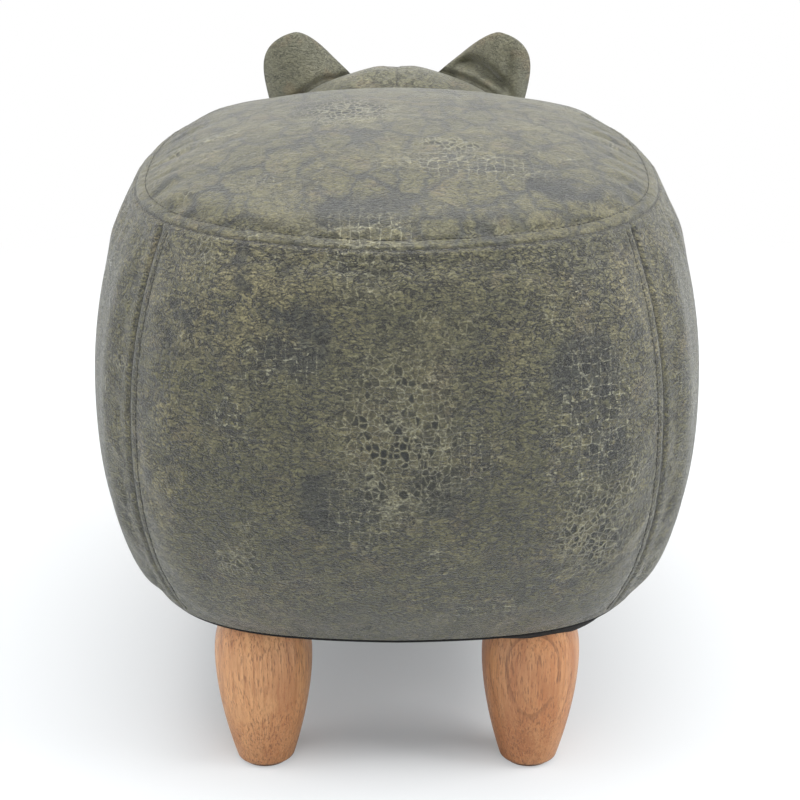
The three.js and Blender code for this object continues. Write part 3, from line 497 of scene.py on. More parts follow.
class BodyForm:
    def __init__(self, sizes):
        self.sizes = s = sizes
        self.corner = 0.5 ** (1 / s.squareness)
        self.widest = (s.width, s.length, s.end_bow)
        self.seam = (
            s.width - 2 * s.seam_side_inset,
            s.length - 2 * s.seam_end_inset,
            s.seam_end_bow,
        )
        self.base = (
            s.width - 2 * s.base_side_inset,
            s.length - 2 * s.base_end_inset,
            s.base_end_bow,
        )

    def outline(self, size, panel, across):
        s = self.sizes
        width, length, end_bow = size
        flat = across * self.corner
        far = (1 - abs(flat) ** s.squareness) ** (1 / s.squareness)
        turn = 1 if panel < 2 else -1
        x = -turn * flat if panel % 2 else turn * far
        y = turn * far if panel % 2 else turn * flat

        def bowed(along, beside, half, bow):
            return along * (half - bow * abs(beside) ** s.bow_exponent)

        return Vector(
            (bowed(x, y, width / 2, s.side_bow), bowed(y, x, length / 2, end_bow) + BODY_Y, 0)
        )

    def size_at(self, height):
        s = self.sizes
        above = max(height - s.widest_share, 0) / (1 - s.widest_share)
        below = max(s.widest_share - height, 0) / s.widest_share
        return [
            widest
            + (seam - widest) * above**s.upper_exponent
            + (base - widest) * below**s.lower_exponent
            for widest, seam, base in zip(self.widest, self.seam, self.base)
        ]

    def side(self, panel, across, height):
        point = self.outline(self.size_at(height), panel, across)
        return point + Vector((0, 0, BASE_Z + self.sizes.side_height * height))

    def hem(self, panel, across, inset):
        width, length, bow = self.base
        point = self.outline((width - 2 * inset, length - 2 * inset, bow), panel, across)
        return point + Vector((0, 0, BASE_Z))

    def seat(self, panel, across, inset):
        """A point of the seat, as far in from its seam as the inset says."""
        s = self.sizes
        edge = self.outline(self.seam, panel, across) - Vector((0, BODY_Y, 0))
        half = self.seam[0] / 2
        even = 1 - inset / half
        share = mix(1 - inset / edge.length, even, smooth_step(inset, 0, half * 0.5))
        rise = s.crown * (1 - max(share, s.crown_flat) ** s.crown_exponent)
        return Vector((share * edge.x, share * edge.y + BODY_Y, SEAM_Z + rise))

    def side_normal(self, panel, across, height):
        inside = clamp(across, -0.996, 0.996)
        level = clamp(height, 0.004, 0.996)
        return outwards(lambda a, b: self.side(panel, a, b), inside, level)

    def seat_normal(self, panel, across, inset):
        inside = clamp(across, -0.996, 0.996)
        depth = max(inset, MM)
        return outwards(lambda a, b: self.seat(panel, a, depth + b * 0.1), inside, 0.0)

    def seam_normal(self, panel, across):
        both = self.side_normal(panel, across, 1) + self.seat_normal(panel, across, 0)
        return both.normalized()

    def panel_width(self, panel):
        """Length of a panel at its widest level, from seam to seam."""
        steps = [i / 24 - 1 for i in range(49)]
        return run_length([self.side(panel, a, self.sizes.widest_share) for a in steps])

    def front_y(self, x, z):
        """Where the front of the body lies at a place, or None above the seat."""
        height = (z - BASE_Z) / self.sizes.side_height
        size, share = self.size_at(min(height, 1)), 1.0
        if height > 1:
            rise = (z - SEAM_Z) / self.sizes.crown
            if rise >= 1:
                return None
            share = (1 - rise) ** (1 / self.sizes.crown_exponent)
        low, high = halve(-1.0, 1.0, 30, lambda a: share * self.outline(size, 3, a).x < x)
        y = self.outline(size, 3, (low + high) / 2).y - BODY_Y
        return share * y + BODY_Y


def seam_dip(sizes, distance):
    """How deep the cover rolls in, at a distance from its seam."""
    return sizes.seam_depth * hill(distance, 0, sizes.seam_roll)


def stitch_dip(sizes, distance, inset):
    return sizes.stitch_depth * hill(distance, inset, STITCH_GROOVE)


def pucker(point, distance, reach=0.012, depth=0.0005):
    """Small gathers that the sewing leaves along a seam."""
    broad, fine, flat = 95, 210, 0.003
    ripple = noise.noise(point * broad) + 0.6 * noise.noise(point * fine)
    return depth * ripple * math.exp(-distance / reach) * smooth_step(distance, 0, flat)


def start_depth(swell, distance):
    """How far in a panel starts, so that it comes to its place when its pad fills it out."""
    return swell * START_SHARE * smooth_step(distance, START_FROM, START_FULL)


# Shader recipes


class Wire:
    """A socket of a shader, so that sums of sockets are written as plain arithmetic."""

    def __init__(self, tree, socket=None):
        self.tree = tree
        self.socket = socket

    def node(self, kind, settings=None, inputs=None, output=0):
        """Adds a node, with its settings set before its inputs. Gives one of its outputs."""
        made = self.tree.nodes.new(kind)
        for name, value in (settings or {}).items():
            setattr(made, name, value)
        for name, value in (inputs or {}).items():
            end = made.inputs[name]
            if isinstance(value, Wire):
                self.tree.links.new(value.socket, end)
            else:
                end.default_value = value
        return Wire(self.tree, made.outputs[output])

    def is_vector(self):
        return self.socket.type == "VECTOR"

    def sum(self, operation, *values):
        vector = any(isinstance(v, tuple) or isinstance(v, Wire) and v.is_vector() for v in values)
        kind = "ShaderNodeVectorMath" if vector else "ShaderNodeMath"
        if vector:
            values = [(v, v, v) if isinstance(v, (int, float)) else v for v in values]
        return self.node(kind, {"operation": operation}, dict(enumerate(values)))

    def __add__(self, other):
        return self.sum("ADD", self, other)

    __radd__ = __add__

    def __sub__(self, other):
        return self.sum("SUBTRACT", self, other)

    def __rsub__(self, other):
        return self.sum("SUBTRACT", other, self)

    def __mul__(self, other):
        return self.sum("MULTIPLY", self, other)

    __rmul__ = __mul__

    def smooth(self, low, high):
        """0 below low, 1 above high, and an even curve between. Falls where high is lower."""
        settings = {"interpolation_type": "SMOOTHSTEP"}
        if low <= high:
            ends = {"From Min": low, "From Max": high, "To Min": 0.0, "To Max": 1.0}
        else:
            ends = {"From Min": high, "From Max": low, "To Min": 1.0, "To Max": 0.0}
        return self.node("ShaderNodeMapRange", settings, {"Value": self, **ends})

    def between(self, low, high):
        """A colour that this share mixes from two, low at 0 and high at 1."""
        colours = {0: self, 6: rgba(low), 7: rgba(high)}
        return self.node("ShaderNodeMix", {"data_type": "RGBA"}, colours, 2)

    def coated(self, *coats):
        """This colour with others over it, in pairs of a share and a colour."""
        colour = self
        for share, over in coats:
            inputs = {0: share, 6: colour, 7: rgba(over)}
            colour = self.node("ShaderNodeMix", {"data_type": "RGBA"}, inputs, 2)
        return colour

    def choose(self, first, second):
        """A shader that is the first at 0 and the second at 1."""
        return self.node("ShaderNodeMixShader", None, {0: self, 1: first, 2: second})

    def noise(self, scale, detail=2.0, roughness=0.5, output="Fac"):
        values = {"Vector": self, "Scale": scale, "Detail": detail, "Roughness": roughness}
        return self.node("ShaderNodeTexNoise", None, values, output)

    def voronoi(self, scale, feature="F1", randomness=1.0, output="Distance"):
        values = {"Vector": self, "Scale": scale, "Randomness": randomness}
        return self.node("ShaderNodeTexVoronoi", {"feature": feature}, values, output)

    def length(self):
        return self.node("ShaderNodeVectorMath", {"operation": "LENGTH"}, {0: self}, "Value")

    def top(self, other):
        """The larger of two values."""
        return self.sum("MAXIMUM", self, other)

    def crease(self, half):
        """1 along the lines where this noise is at its middle value, falling to 0 beside them."""
        return self.sum("ABSOLUTE", self - 0.5).smooth(half, 0.0)

    def red(self):
        """One value of a random colour."""
        return self.node("ShaderNodeSeparateColor", None, {"Color": self}, "Red")

    def grey(self, colour):
        """A colour that this value makes lighter or darker."""
        shade = dict.fromkeys(("Red", "Green", "Blue"), self)
        shade = self.node("ShaderNodeCombineColor", None, shade)
        settings = {"data_type": "RGBA", "blend_type": "MULTIPLY"}
        return self.node("ShaderNodeMix", settings, {0: 1.0, 6: shade, 7: colour}, 2)

    def finish(self, kind="ShaderNodeOutputMaterial"):
        """Links this shader to its tree's output."""
        output = self.tree.nodes.new(kind)
        self.tree.links.new(self.socket, output.inputs["Surface"])


def rgba(colour):
    return (*colour, 1.0)


def blank(name):
    """A new material, a wire to start from, and each point's place in its object."""
    material = bpy.data.materials.new(name)
    material.use_nodes = True
    material.node_tree.nodes.clear()
    start = Wire(material.node_tree)
    return material, start, start.node("ShaderNodeTexCoord", output="Object")


def close_up(start, colour, roughness, bumps=(), **constants):
    """Ends a recipe in a Principled shader. Bumps are pairs of a height and its distance."""
    inputs = {"Base Color": colour, "Roughness": roughness}
    normal = None
    for height, distance in bumps:
        values = {"Height": height, "Distance": distance, "Strength": 1.0}
        if normal:
            values["Normal"] = normal
        normal = start.node("ShaderNodeBump", None, values)
    if normal:
        inputs["Normal"] = normal
    inputs.update({key.replace("_", " "): value for key, value in constants.items()})
    start.node("ShaderNodeBsdfPrincipled", None, inputs).finish()


def attribute(start, name):
    return start.node("ShaderNodeAttribute", {"attribute_name": name}, None, "Fac")


def plain_material(name, colour, recipe, **constants):
    """A material of one colour. Its recipe gives a tone, a roughness, a height and its depth."""
    material, start, place = blank(name)
    tone, roughness, height, depth = recipe(place)
    close_up(start, tone.grey(rgba(colour)), roughness, ((height, depth),), **constants)
    return material


# Places on the cover, each a middle and half sizes: round scales, a square net, blotches, slate
SCALE_PLACES = (
    ((0.000, 0.315, 0.236), (0.048, 0.09, 0.070)),
    ((-0.104, 0.300, 0.176), (0.030, 0.09, 0.045)),
    ((0.030, 0.100, 0.358), (0.044, 0.060, 0.06)),
)
NET_PLACES = (
    ((0.016, 0.315, 0.196), (0.034, 0.09, 0.034)),
    ((-0.100, 0.300, 0.236), (0.034, 0.09, 0.066)),
    ((0.016, 0.310, 0.340), (0.046, 0.045, 0.04)),
    ((-0.040, 0.215, 0.357), (0.060, 0.030, 0.04)),
    ((-0.030, 0.315, 0.225), (0.030, 0.09, 0.030)),
)
BLOTCH_PLACES = (
    ((0.085, 0.305, 0.302), (0.070, 0.09, 0.050)),
    ((-0.124, 0.290, 0.296), (0.030, 0.09, 0.040)),
    ((-0.100, 0.295, 0.165), (0.040, 0.09, 0.045)),
    ((0.125, 0.280, 0.210), (0.020, 0.09, 0.070)),
)
SLATE_PLACES = (
    ((0.052, 0.315, 0.284), (0.024, 0.09, 0.020)),
    ((0.108, 0.300, 0.282), (0.024, 0.09, 0.016)),
    ((0.030, 0.315, 0.200), (0.026, 0.09, 0.022)),
    ((-0.020, 0.315, 0.206), (0.018, 0.09, 0.016)),
    ((-0.096, 0.300, 0.262), (0.022, 0.09, 0.026)),
    ((-0.108, 0.300, 0.218), (0.016, 0.09, 0.018)),
    ((-0.114, 0.300, 0.160), (0.014, 0.09, 0.018)),
    ((0.022, 0.278, 0.357), (0.030, 0.026, 0.04)),
    ((0.034, 0.090, 0.358), (0.036, 0.040, 0.06)),
    ((-0.090, 0.235, 0.357), (0.026, 0.022, 0.06)),
)


def spots(place, places, core=0.3):
    """1 in the middle of each place, falling to 0 at its rim."""
    total = None
    for middle, half in places:
        spot = ((place - middle) * tuple(1 / h for h in half)).length().smooth(1.0, core)
        total = total.top(spot) if total else spot
    return total


def scales_on(place, count, randomness):
    """A net of small scales: a random tone for each, how far from its middle, and from its rim."""
    tone = place.voronoi(count, "F1", randomness, "Color").red()
    middle = place.voronoi(count, "F1", randomness)
    return tone, middle, place.voronoi(count, "DISTANCE_TO_EDGE", randomness)


def distressed_leather(finish):
    material, start, place = blank("distressed_leather")
    edge = attribute(start, "edge_distance")
    cut = attribute(start, "cut_number")
    # The ears and the head have fewer marks and are painted lighter, a painted light, and the seat is
    # worn in another way than the sides
    plain = cut.smooth(4.4, 4.6) * (1.0 - cut.smooth(6.4, 6.6) * 0.4)
    busy = 1.0 - plain
    rough = 1.0 - plain * 0.75
    flat = cut.smooth(0.6, 0.4)
    stretch = flat * (0.0, -0.55, 0.0) + (1.0, 1.0, 0.85)
    cloth = place + cut * (0.31, 0.17, 0.23)
    warp = cloth.noise(85, 3, 0.55, output="Color") - (0.5, 0.5, 0.5)

    def warped_by(reach, base=cloth):
        return base + warp * (reach, reach, reach)

    # Fine grain
    warped = warped_by(0.006)
    long_crease = (warped * (1.0, 1.0, 2.5)).noise(150, 4, 0.62).crease(0.055)
    short_crease = (warped * (1.0, 1.3, 2.0)).noise(300, 2, 0.5).crease(0.075)
    speckle = (cloth * (1.0, 1.2, 1.6)).noise(620, 2, 0.6).smooth(0.42, 0.58)
    flecks = (warped * (1.0, 1.0, 0.6)).noise(400, 3, 0.6).smooth(0.50, 0.66)

    # Broad changes, and where each kind of mark lies
    cloud = cloth.noise(26, 4, 0.6)
    drift = (warped + (0.4, 0.1, 0.2)).noise(48, 3, 0.52)
    blush = (cloth + (0.1, 0.7, 0.3)).noise(46, 3, 0.6)
    wear = (warped + (0.7, 0.2, 0.5)).noise(66, 4, 0.56)
    ragged = wear.smooth(0.34, 0.46) * 0.6 + 0.4
    scattered = (cloth + (0.2, 0.5, 0.9)).noise(17, 3, 0.6)
    scaly = spots(place, SCALE_PLACES) * ragged
    scaly = scaly.top(scattered.smooth(0.60, 0.68) * 0.8) * busy
    netted = spots(place, NET_PLACES) * ragged
    netted = netted.top(scattered.smooth(0.40, 0.33) * 0.8) * busy
    blotched = spots(place, BLOTCH_PLACES).top(cloud.smooth(0.58, 0.70) * 0.4) * busy
    slate = spots(warped_by(0.012, place), SLATE_PLACES, 0.7)
    slate = slate * (drift.smooth(0.34, 0.48) * 0.6 + 0.4)
    slate = slate.top(drift.smooth(0.58, 0.68) * 0.3)

    # Marks
    scale_tone, scale_middle, scale_rim = scales_on(warped * stretch, 280, 0.85)
    net_tone, _, net_rim = scales_on(warped_by(0.0016) * stretch, 195, 0.3)
    blotch_tone, blotch_middle, blotch_rim = scales_on(warped_by(0.016), 74, 1.0)
    pebble_rim = (warped_by(0.012) * stretch).voronoi(56, "DISTANCE_TO_EDGE")
    cobbles = pebble_rim.smooth(0.11, 0.0) * cloud.smooth(0.66, 0.45) * (flat * 0.5 + 0.25)
    worn = (blotched * 0.8).top(netted).top(scaly * 0.5)
    discs = blotched * blotch_middle.smooth(0.62, 0.2) * blotch_tone.smooth(0.45, 0.62)
    dark_scales = (scale_tone + slate * 0.25 + (drift - 0.5) * 1.6).smooth(0.30, 0.70)
    dots = scaly * scale_rim.smooth(0.05, 0.22) * (dark_scales * 0.72 + 0.28)

    colour = (cloud.smooth(0.40, 0.68) * 0.30 + 0.06).between(finish.olive, finish.khaki)
    colour = colour.coated(
        (plain * 0.5, finish.grey),
        (blush.smooth(0.54, 0.68) * 0.4, finish.rust),
        (wear.smooth(0.56, 0.70) * rough * 0.32, finish.khaki),
        (slate * rough * 0.78, finish.slate),
        (slate * flat * 0.45, finish.ink),
        (cobbles * rough, finish.slate),
        (cobbles * flat * 0.5, finish.ink),
        (blotched * wear.smooth(0.46, 0.56) * 0.8, finish.khaki),
        (flecks * worn * 0.5, finish.khaki_pale),
        (discs * drift.smooth(0.34, 0.52) * 0.80, finish.ink),
        (blotched * blotch_rim.smooth(0.08, 0.0) * 0.4, finish.khaki),
        (netted * net_tone.smooth(0.4, 0.75) * 0.65, finish.ink),
        (netted * (speckle * 0.3 + 0.7) * (net_rim.smooth(0.085, 0.01) * 0.62), finish.pale),
        (scaly * 0.35, finish.khaki),
        (dots, finish.ink),
        (scaly * (scale_rim.smooth(0.08, 0.0) * 0.58), finish.pale),
    )
    creases = long_crease * (wear.smooth(0.70, 0.40) * 0.45 + 0.45) + short_crease * 0.4
    creases = creases * (1.0 - scaly * 0.5 - plain * 0.6 - flat * 0.45)
    speckle = (speckle - 0.5) * (1.0 - plain * 0.6 - flat * 0.3) + 0.5
    tone = (1.46 - creases * 1.9).top(0.15) * (speckle * 0.50 + 0.56)
    # Painted light: the ears, and the head less so, are made lighter, standing in for the light they
    # catch
    colour = (tone * (plain * 0.62 + 1.0)).grey(colour)
    # Painted shade: the leather is darker within about a millimetre of a seam, in the groove where the
    # panels meet, and near the foot of each ear
    seam = edge.smooth(0.0001, 0.0012) * (0.6 - plain * 0.35)
    colour = (seam + plain * 0.35 + 0.4).grey(colour)

    relief = speckle * 0.3 - creases * 0.8
    scales = scaly * (scale_rim.smooth(0.07, 0.0) - scale_middle.smooth(0.5, 0.3) * 0.6)
    close_up(
        start,
        colour,
        speckle * 0.16 + slate * 0.10 + dots * 0.25 + 0.42,
        bumps=((cloud + drift * 0.5, 0.0016), (relief + scales * 0.6, 0.0007)),
        Sheen_Weight=0.42,
        Sheen_Roughness=0.30,
    )
    return material


def turned_wood(finish, name, axis, grain, seed):
    """Turned and varnished wood. Its rings run round a pith that leans beside the leg's axis."""
    pith, lean, rings, phase, dark, lines = grain
    material, start, place = blank(name)
    own = place - (axis[0], axis[1], 0.0)
    wobble = (own * (1.0, 1.0, 0.3) + (seed, 0.0, 0.0)).noise(42, 2, 0.45) - 0.5
    height = (own * (0.0, 0.0, 1.0)).length()
    radius = ((own - (pith[0], pith[1], 0.0)) * (1.0, 1.0, 0.0)).length()
    radius = radius + height * lean + wobble * 0.0030
    ring = radius.sum("FRACT", radius * rings + phase)
    streak = (own * (1.0, 1.0, 0.03) + (seed, 0.2, 0.0)).noise(640, 4, 0.7)
    broad = (own * (1.0, 1.0, 0.14) + (0.0, seed, 0.0)).noise(90, 4, 0.6)
    pores = (own * (1.0, 1.0, 0.12) + (seed, 0.0, 0.4)).noise(1250, 2, 0.5)
    flecks = (own * (1.0, 1.0, 0.45) + (0.3, seed, 0.0)).noise(1150, 3, 0.6)
    mottle = (own + (0.0, 0.0, seed)).noise(55, 4, 0.6)
    pore = pores.smooth(0.53, 0.66) * mottle.smooth(0.34, 0.52)
    low = height.smooth(0.055, 0.02)
    line = ring.smooth(0.80, 0.97) * ring.smooth(1.0, 0.97)
    line = line * mottle.smooth(0.36, 0.56) * (1.0 - low * 0.7)

    light, deep = finish.wood_light, finish.wood_dark
    brown = [c * 0.45 for c in deep]
    colour = (broad.smooth(0.36, 0.66) * 0.5 + (dark - 0.2)).between(light, deep).coated(
        (ring.smooth(0.2, 0.95) * 0.12, deep),
        (streak.smooth(0.46, 0.66) * 0.6, deep),
        (line * lines, brown),
        (pore * 0.62, brown),
        (flecks.smooth(0.55, 0.68) * (low * 0.4 + 0.12), brown),
        (flecks.smooth(0.45, 0.32) * (low * 0.3 + 0.10), light),
    )
    colour = (mottle * 0.4 + 0.8).grey(colour)
    # Painted shadow: the lowest few millimetres of each leg, just above the glide, are darker
    colour = (height.smooth(0.002, 0.0045) * 0.45 + 0.55).grey(colour)
    close_up(
        start,
        colour,
        streak * 0.12 + 0.34,
        bumps=((streak * 0.6 - pore, 0.00016),),
        Coat_Weight=0.25,
        Coat_Roughness=0.25,
    )
    return material


# Recipes of the plain materials: tone, roughness, height of the bumps, and their depth


def twist_of_thread(place):
    twist = place.noise(2600, 2, 0.5)
    return twist * 0.7 + 0.6, twist * 0.2 + 0.5, twist, 0.0001


def cells_of_foam(place):
    cells = place.voronoi(520, "F1")
    return cells * 0.5 + place.noise(30, 3) * 0.2 + 0.65, 0.95, cells, 0.0008


def plies_of_board(place):
    figure = (place * (1.0, 0.08, 0.35)).noise(70, 4, 0.6)
    waves = {"Vector": place, "Scale": 110.0}
    plies = place.node("ShaderNodeTexWave", {"bands_direction": "Z"}, waves, "Fac")
    pores = (place * (1.0, 0.1, 0.6)).noise(600, 2)
    return figure * 0.5 + plies * 0.12 + pores * 0.2 + 0.5, pores * 0.1 + 0.7, pores, 0.0003


def rings_of_pine(place):
    rings = (place * (1.0, 1.0, 0.05)).noise(190, 3, 0.5)
    return rings.smooth(0.35, 0.7) * 0.35 + place.noise(500, 2) * 0.2 + 0.65, 0.65, rings, 0.0003


def marks_of_zinc(place):
    marks = (place * (1.0, 1.0, 5.0)).noise(420, 2)
    return place.noise(160, 4, 0.6) * 0.3 + 0.7, marks * 0.2 + 0.25, marks, 0.0001


def haze_of_plastic(place):
    haze = place.noise(240, 3, 0.6)
    return haze * 0.4 + 0.8, haze * 0.08 + 0.07, haze, 0.00004


def grain_of_leather(place):
    grain = place.noise(420, 4, 0.6)
    pebble = place.voronoi(620, "SMOOTH_F1")
    return grain * 0.8 + 0.6, grain * 0.25 + 0.42, grain + pebble * 0.6, 0.0007


def fuzz_of_felt(place):
    fuzz = place.noise(1400, 3, 0.7)
    return fuzz * 0.8 + 0.6, 0.95, fuzz, 0.0005


def web_of_cloth(place):
    web = (place * (1.0, 1.0, 3.0)).voronoi(900, "DISTANCE_TO_EDGE")
    fibres = place.noise(1500, 3, 0.7)
    return fibres * 0.9 + 0.5, 0.95, web + fibres, 0.0003


# Stage


class STOOL_OT_stage(bpy.types.Operator):
    """Set up the floor, the lamps and the camera"""

    bl_idname = "stool.stage"
    bl_label = "Stage"

    def execute(self, context):
        settings = context.scene.stool_stage
        self.add_floor(context.scene.stool_finish)
        self.add_camera(context.scene, settings)
        self.light(context.scene, settings)
        return {"FINISHED"}

    def add_floor(self, finish):
        floor = primitive("floor", "circle", vertices=96, radius=9, fill_type="NGON")
        material, start, place = blank("pale_floor")
        ray = start.node("ShaderNodeLightPath", output="Is Camera Ray")
        # The camera sees the paint, and so the shadows, near the stool. Mixed in is a white glow that
        # only the camera sees: a little inside a box round the stool, more outside it, where it is
        # painted light that pales the shadow, and fully far off
        beside = ((place - (0.02, 0.0, 0.0)) * (1.0, 0.0, 0.0)).length().smooth(0.05, 0.14)
        before = (place * (0.0, 1.0, 0.0)).length().smooth(0.205, 0.26)
        far = (place * (1.0, 1.0, 0.0)).length().smooth(0.40, 1.10)
        far = far.top(beside.top(before) * 0.34 + 0.09)
        colour = (place.noise(3, 2) * 0.01 + 0.995).grey(rgba(finish.floor))
        paint = start.node("ShaderNodeBsdfDiffuse", None, {"Color": colour, "Roughness": 0.9})
        white = start.node("ShaderNodeEmission", None, {"Color": (1, 1, 1, 1), "Strength": 1.0})
        below = start.node("ShaderNodeNewGeometry", output="Backfacing") * ray
        clear = start.node("ShaderNodeBsdfTransparent")
        below.choose((far * ray).choose(paint, white), clear).finish()
        dress(floor, material)

    def add_camera(self, scene, settings):
        data = bpy.data.cameras.new("camera")
        data.lens = settings.lens
        data.sensor_width = 36
        data.shift_x = settings.shift
        camera = link("camera", data)
        camera.location = (0, settings.camera_y, settings.camera_z)
        camera.rotation_euler = (math.pi / 2 - settings.pitch, 0, math.pi)
        scene.camera = camera

    def light(self, scene, settings):
        lamps = (
            ("top_lamp", (0.0, 0.35, 2.3), 2.2, settings.top_lamp),
            ("right_lamp", (-2.0, 0.5, 1.4), 1.6, settings.right_lamp),
            ("left_lamp", (2.0, 0.4, 1.4), 1.6, settings.left_lamp),
            ("fill_lamp", (0.6, 2.6, 1.3), 2.0, settings.fill_lamp),
        )
        for name, place, size, power in lamps:
            data = bpy.data.lights.new(name, "AREA")
            data.shape = "DISK"
            data.size = size
            data.energy = power
            lamp = link(name, data)
            lamp.location = place
            aim = Vector((0, 0.05, 0.2)) - Vector(place)
            lamp.rotation_euler = aim.to_track_quat("-Z", "Y").to_euler()
        world = bpy.data.worlds.new("studio")
        world.use_nodes = True
        world.node_tree.nodes.clear()
        start = Wire(world.node_tree)
        ray, glossy, through = (
            start.node("ShaderNodeLightPath", output=f"Is {kind} Ray")
            for kind in ("Camera", "Glossy", "Transmission")
        )
        sky, white = (
            start.node("ShaderNodeBackground", None, {"Color": colour, "Strength": strength})
            for colour, strength in (((0.93, 0.97, 1, 1), settings.sky), ((1, 1, 1, 1), 1.0))
        )
        ray.top(glossy).top(through).choose(sky, white).finish("ShaderNodeOutputWorld")
        scene.world = world
        scene.view_settings.view_transform = "Standard"


# Cover panels of the body


STUFFING = {
    "quality": 6,
    "mass": 0.01,
    "tension_stiffness": 15,
    "compression_stiffness": 15,
    "shear_stiffness": 5,
    "bending_stiffness": 3,
    "shrink_min": -0.03,
    "use_pressure": True,
    "uniform_pressure_force": 12,
    "vertex_group_mass": "sewn",
}
STUFFING_FRAMES = 20


def fill_out(pieces, cap):
    """Swells sewn panels over their pads by a cloth simulation, held along their stitching."""
    scene = bpy.context.scene
    rests = {}
    for piece in pieces:
        rests[piece.name] = [point.co.copy() for point in piece.data.vertices]
        cloth = piece.modifiers.new("Stuffing", "CLOTH")
        for name, value in STUFFING.items():
            setattr(cloth.settings, name, value)
        cloth.settings.effector_weights.gravity = 0
        cloth.collision_settings.use_collision = False
        cloth.point_cache.frame_start = 1
        cloth.point_cache.frame_end = STUFFING_FRAMES
    for number in range(1, STUFFING_FRAMES + 1):
        scene.frame_set(number)
    for piece in pieces:
        apply_all(piece)
        for point, rest in zip(piece.data.vertices, rests[piece.name]):
            move = point.co - rest
            if move.length > cap:
                point.co = rest + move.normalized() * cap
    scene.frame_set(1)


def sew_down(piece, reach, fade):
    """Marks the points that the sewing holds, within reach of a seam and fading out beyond it."""
    group = piece.vertex_groups.new(name="sewn")
    for mark, point in zip(piece.data.attributes["edge_distance"].data, piece.data.vertices):
        hold = 1 - smooth_step(mark.value, reach, reach + fade)
        if hold > 0:
            group.add([point.index], hold, "REPLACE")


def upholster(panels, reach, fade, swell, thickness, gap=0):
    """Fills out sewn panels, each given with its node of the frame, and finishes them."""
    for panel, _ in panels:
        sew_down(panel, reach, fade)
    fill_out([panel for panel, _ in panels], swell)
    for panel, node in panels:
        if gap:
            weld(panel, gap)
        finish_cover(panel, bpy.data.materials["distressed_leather"], thickness)
        settle(panel, "leather", node)


class STOOL_OT_cover(bpy.types.Operator):
    """Sew the seat panel and the four side panels of the cover"""

    bl_idname = "stool.cover"
    bl_label = "Cover Panels"

    def execute(self, context):
        sizes = context.scene.stool_body
        form = BodyForm(sizes)
        distressed_leather(context.scene.stool_finish)
        panels = [self.seat_panel(form, sizes)]
        panels += [self.side_panel(form, sizes, number) for number in range(4)]
        panels = [(panel, panel.name.replace("_panel", "_cover")) for panel in panels]
        upholster(
            panels, sizes.stitch_inset, SEWN_FADE, sizes.swell, sizes.cover_thickness
        )
        return {"FINISHED"}

    def seat_panel(self, form, sizes):
        half = form.seam[0] / 2
        ways = [d / half - 1 for d in between_seams(2 * half, sizes.grid, self.seat_lines(sizes))]

        def ring(u, v):
            """Panel, across and inset of a point of the square."""
            panel, across, far = ring_place(u, v)
            return panel, across, half * (1 - far)

        def surface(u, v):
            panel, across, inset = ring(u, v)
            point = form.seat(panel, across, inset)
            out = form.seat_normal(panel, across, inset) if inset < half * 0.8 else Vector((0, 0, 1))
            roll = form.seam_normal(panel, across) * seam_dip(sizes, inset)
            dip = stitch_dip(sizes, inset, sizes.seat_stitch_inset)
            dip += start_depth(sizes.swell, inset) - pucker(point, inset)
            return point - roll - out * dip

        return lay_grid("seat_panel", ways, ways, surface, lambda u, v: ring(u, v)[2], 0)

    def seat_lines(self, sizes):
        """The seat is stitched a little further in than the sides."""
        shift = sizes.seat_stitch_inset / sizes.stitch_inset
        return [line * (shift if line > ROLL_END else 1) for line in SEAM_LINES]

    def side_panel(self, form, sizes, number):
        width = form.panel_width(number)
        columns = [2 * line / width - 1 for line in between_seams(width, sizes.grid)]
        height = sizes.side_height
        top = [height - line for line in reversed(SEAM_LINES)]
        rows = [-sizes.hem] + [-line for line in reversed(HEM_LINES)] + HEM_LINES
        rows += spaced(HEM_LINES[-1], top[0], sizes.grid)[1:-1] + top
        stitched = number % 2 == 1
        # Heights above the hem, or depths below the seat seam, over which a dip sets in
        low_ease, top_ease, fill_ease, pucker_ease = 0.006, 0.005, 0.05, 0.01

        def distances(across, row):
            beside = (1 - abs(across)) * width / 2
            return beside, height - row

        def surface(across, row):
            if row < 0:
                return form.hem(number, across, -row)
            point = form.side(number, across, row / height)
            out = form.side_normal(number, across, row / height)
            beside, below = distances(across, row)
            dip = seam_dip(sizes, beside)
            if stitched:
                dip += stitch_dip(sizes, beside, sizes.stitch_inset)
            dip *= smooth_step(row, 0, low_ease) * smooth_step(below, 0, top_ease)
            near = min(beside, below)
            dip += start_depth(sizes.swell, near) * smooth_step(row, 0, fill_ease)
            dip -= pucker(point, near) * smooth_step(row, 0, pucker_ease)
            top_roll = form.seam_normal(number, across) * seam_dip(sizes, below)
            return point - out * dip - top_roll

        def edge(across, row):
            beside, below = distances(across, row)
            return min(beside, below, HEM_EDGE + max(row, 0))

        return lay_grid(f"{SIDES[number]}_panel", columns, rows, surface, edge, number + 1)


# Head form. Along runs from 0 at the neck to 1 at the tip of the muzzle, and the angle from 0 at
# the left of the mouth line, over the top, to a half turn at its right.


def value_along(shares, place):
    """A smooth curve through evenly spaced shares."""
    last = len(shares) - 1
    spot = place * last
    number = min(int(spot), last - 1)
    weight = spot - number
    p0 = shares[number - 1] if number else shares[number]
    p1, p2 = shares[number], shares[number + 1]
    p3 = shares[number + 2] if number + 2 <= last else shares[last]
    v0, v1 = (p2 - p0) / 2, (p3 - p1) / 2
    square, cube = weight**2, weight**3
    return (
        (2 * p1 - 2 * p2 + v0 + v1) * cube
        + (-3 * p1 + 3 * p2 - 2 * v0 - v1) * square
        + v0 * weight
        + p1
    )


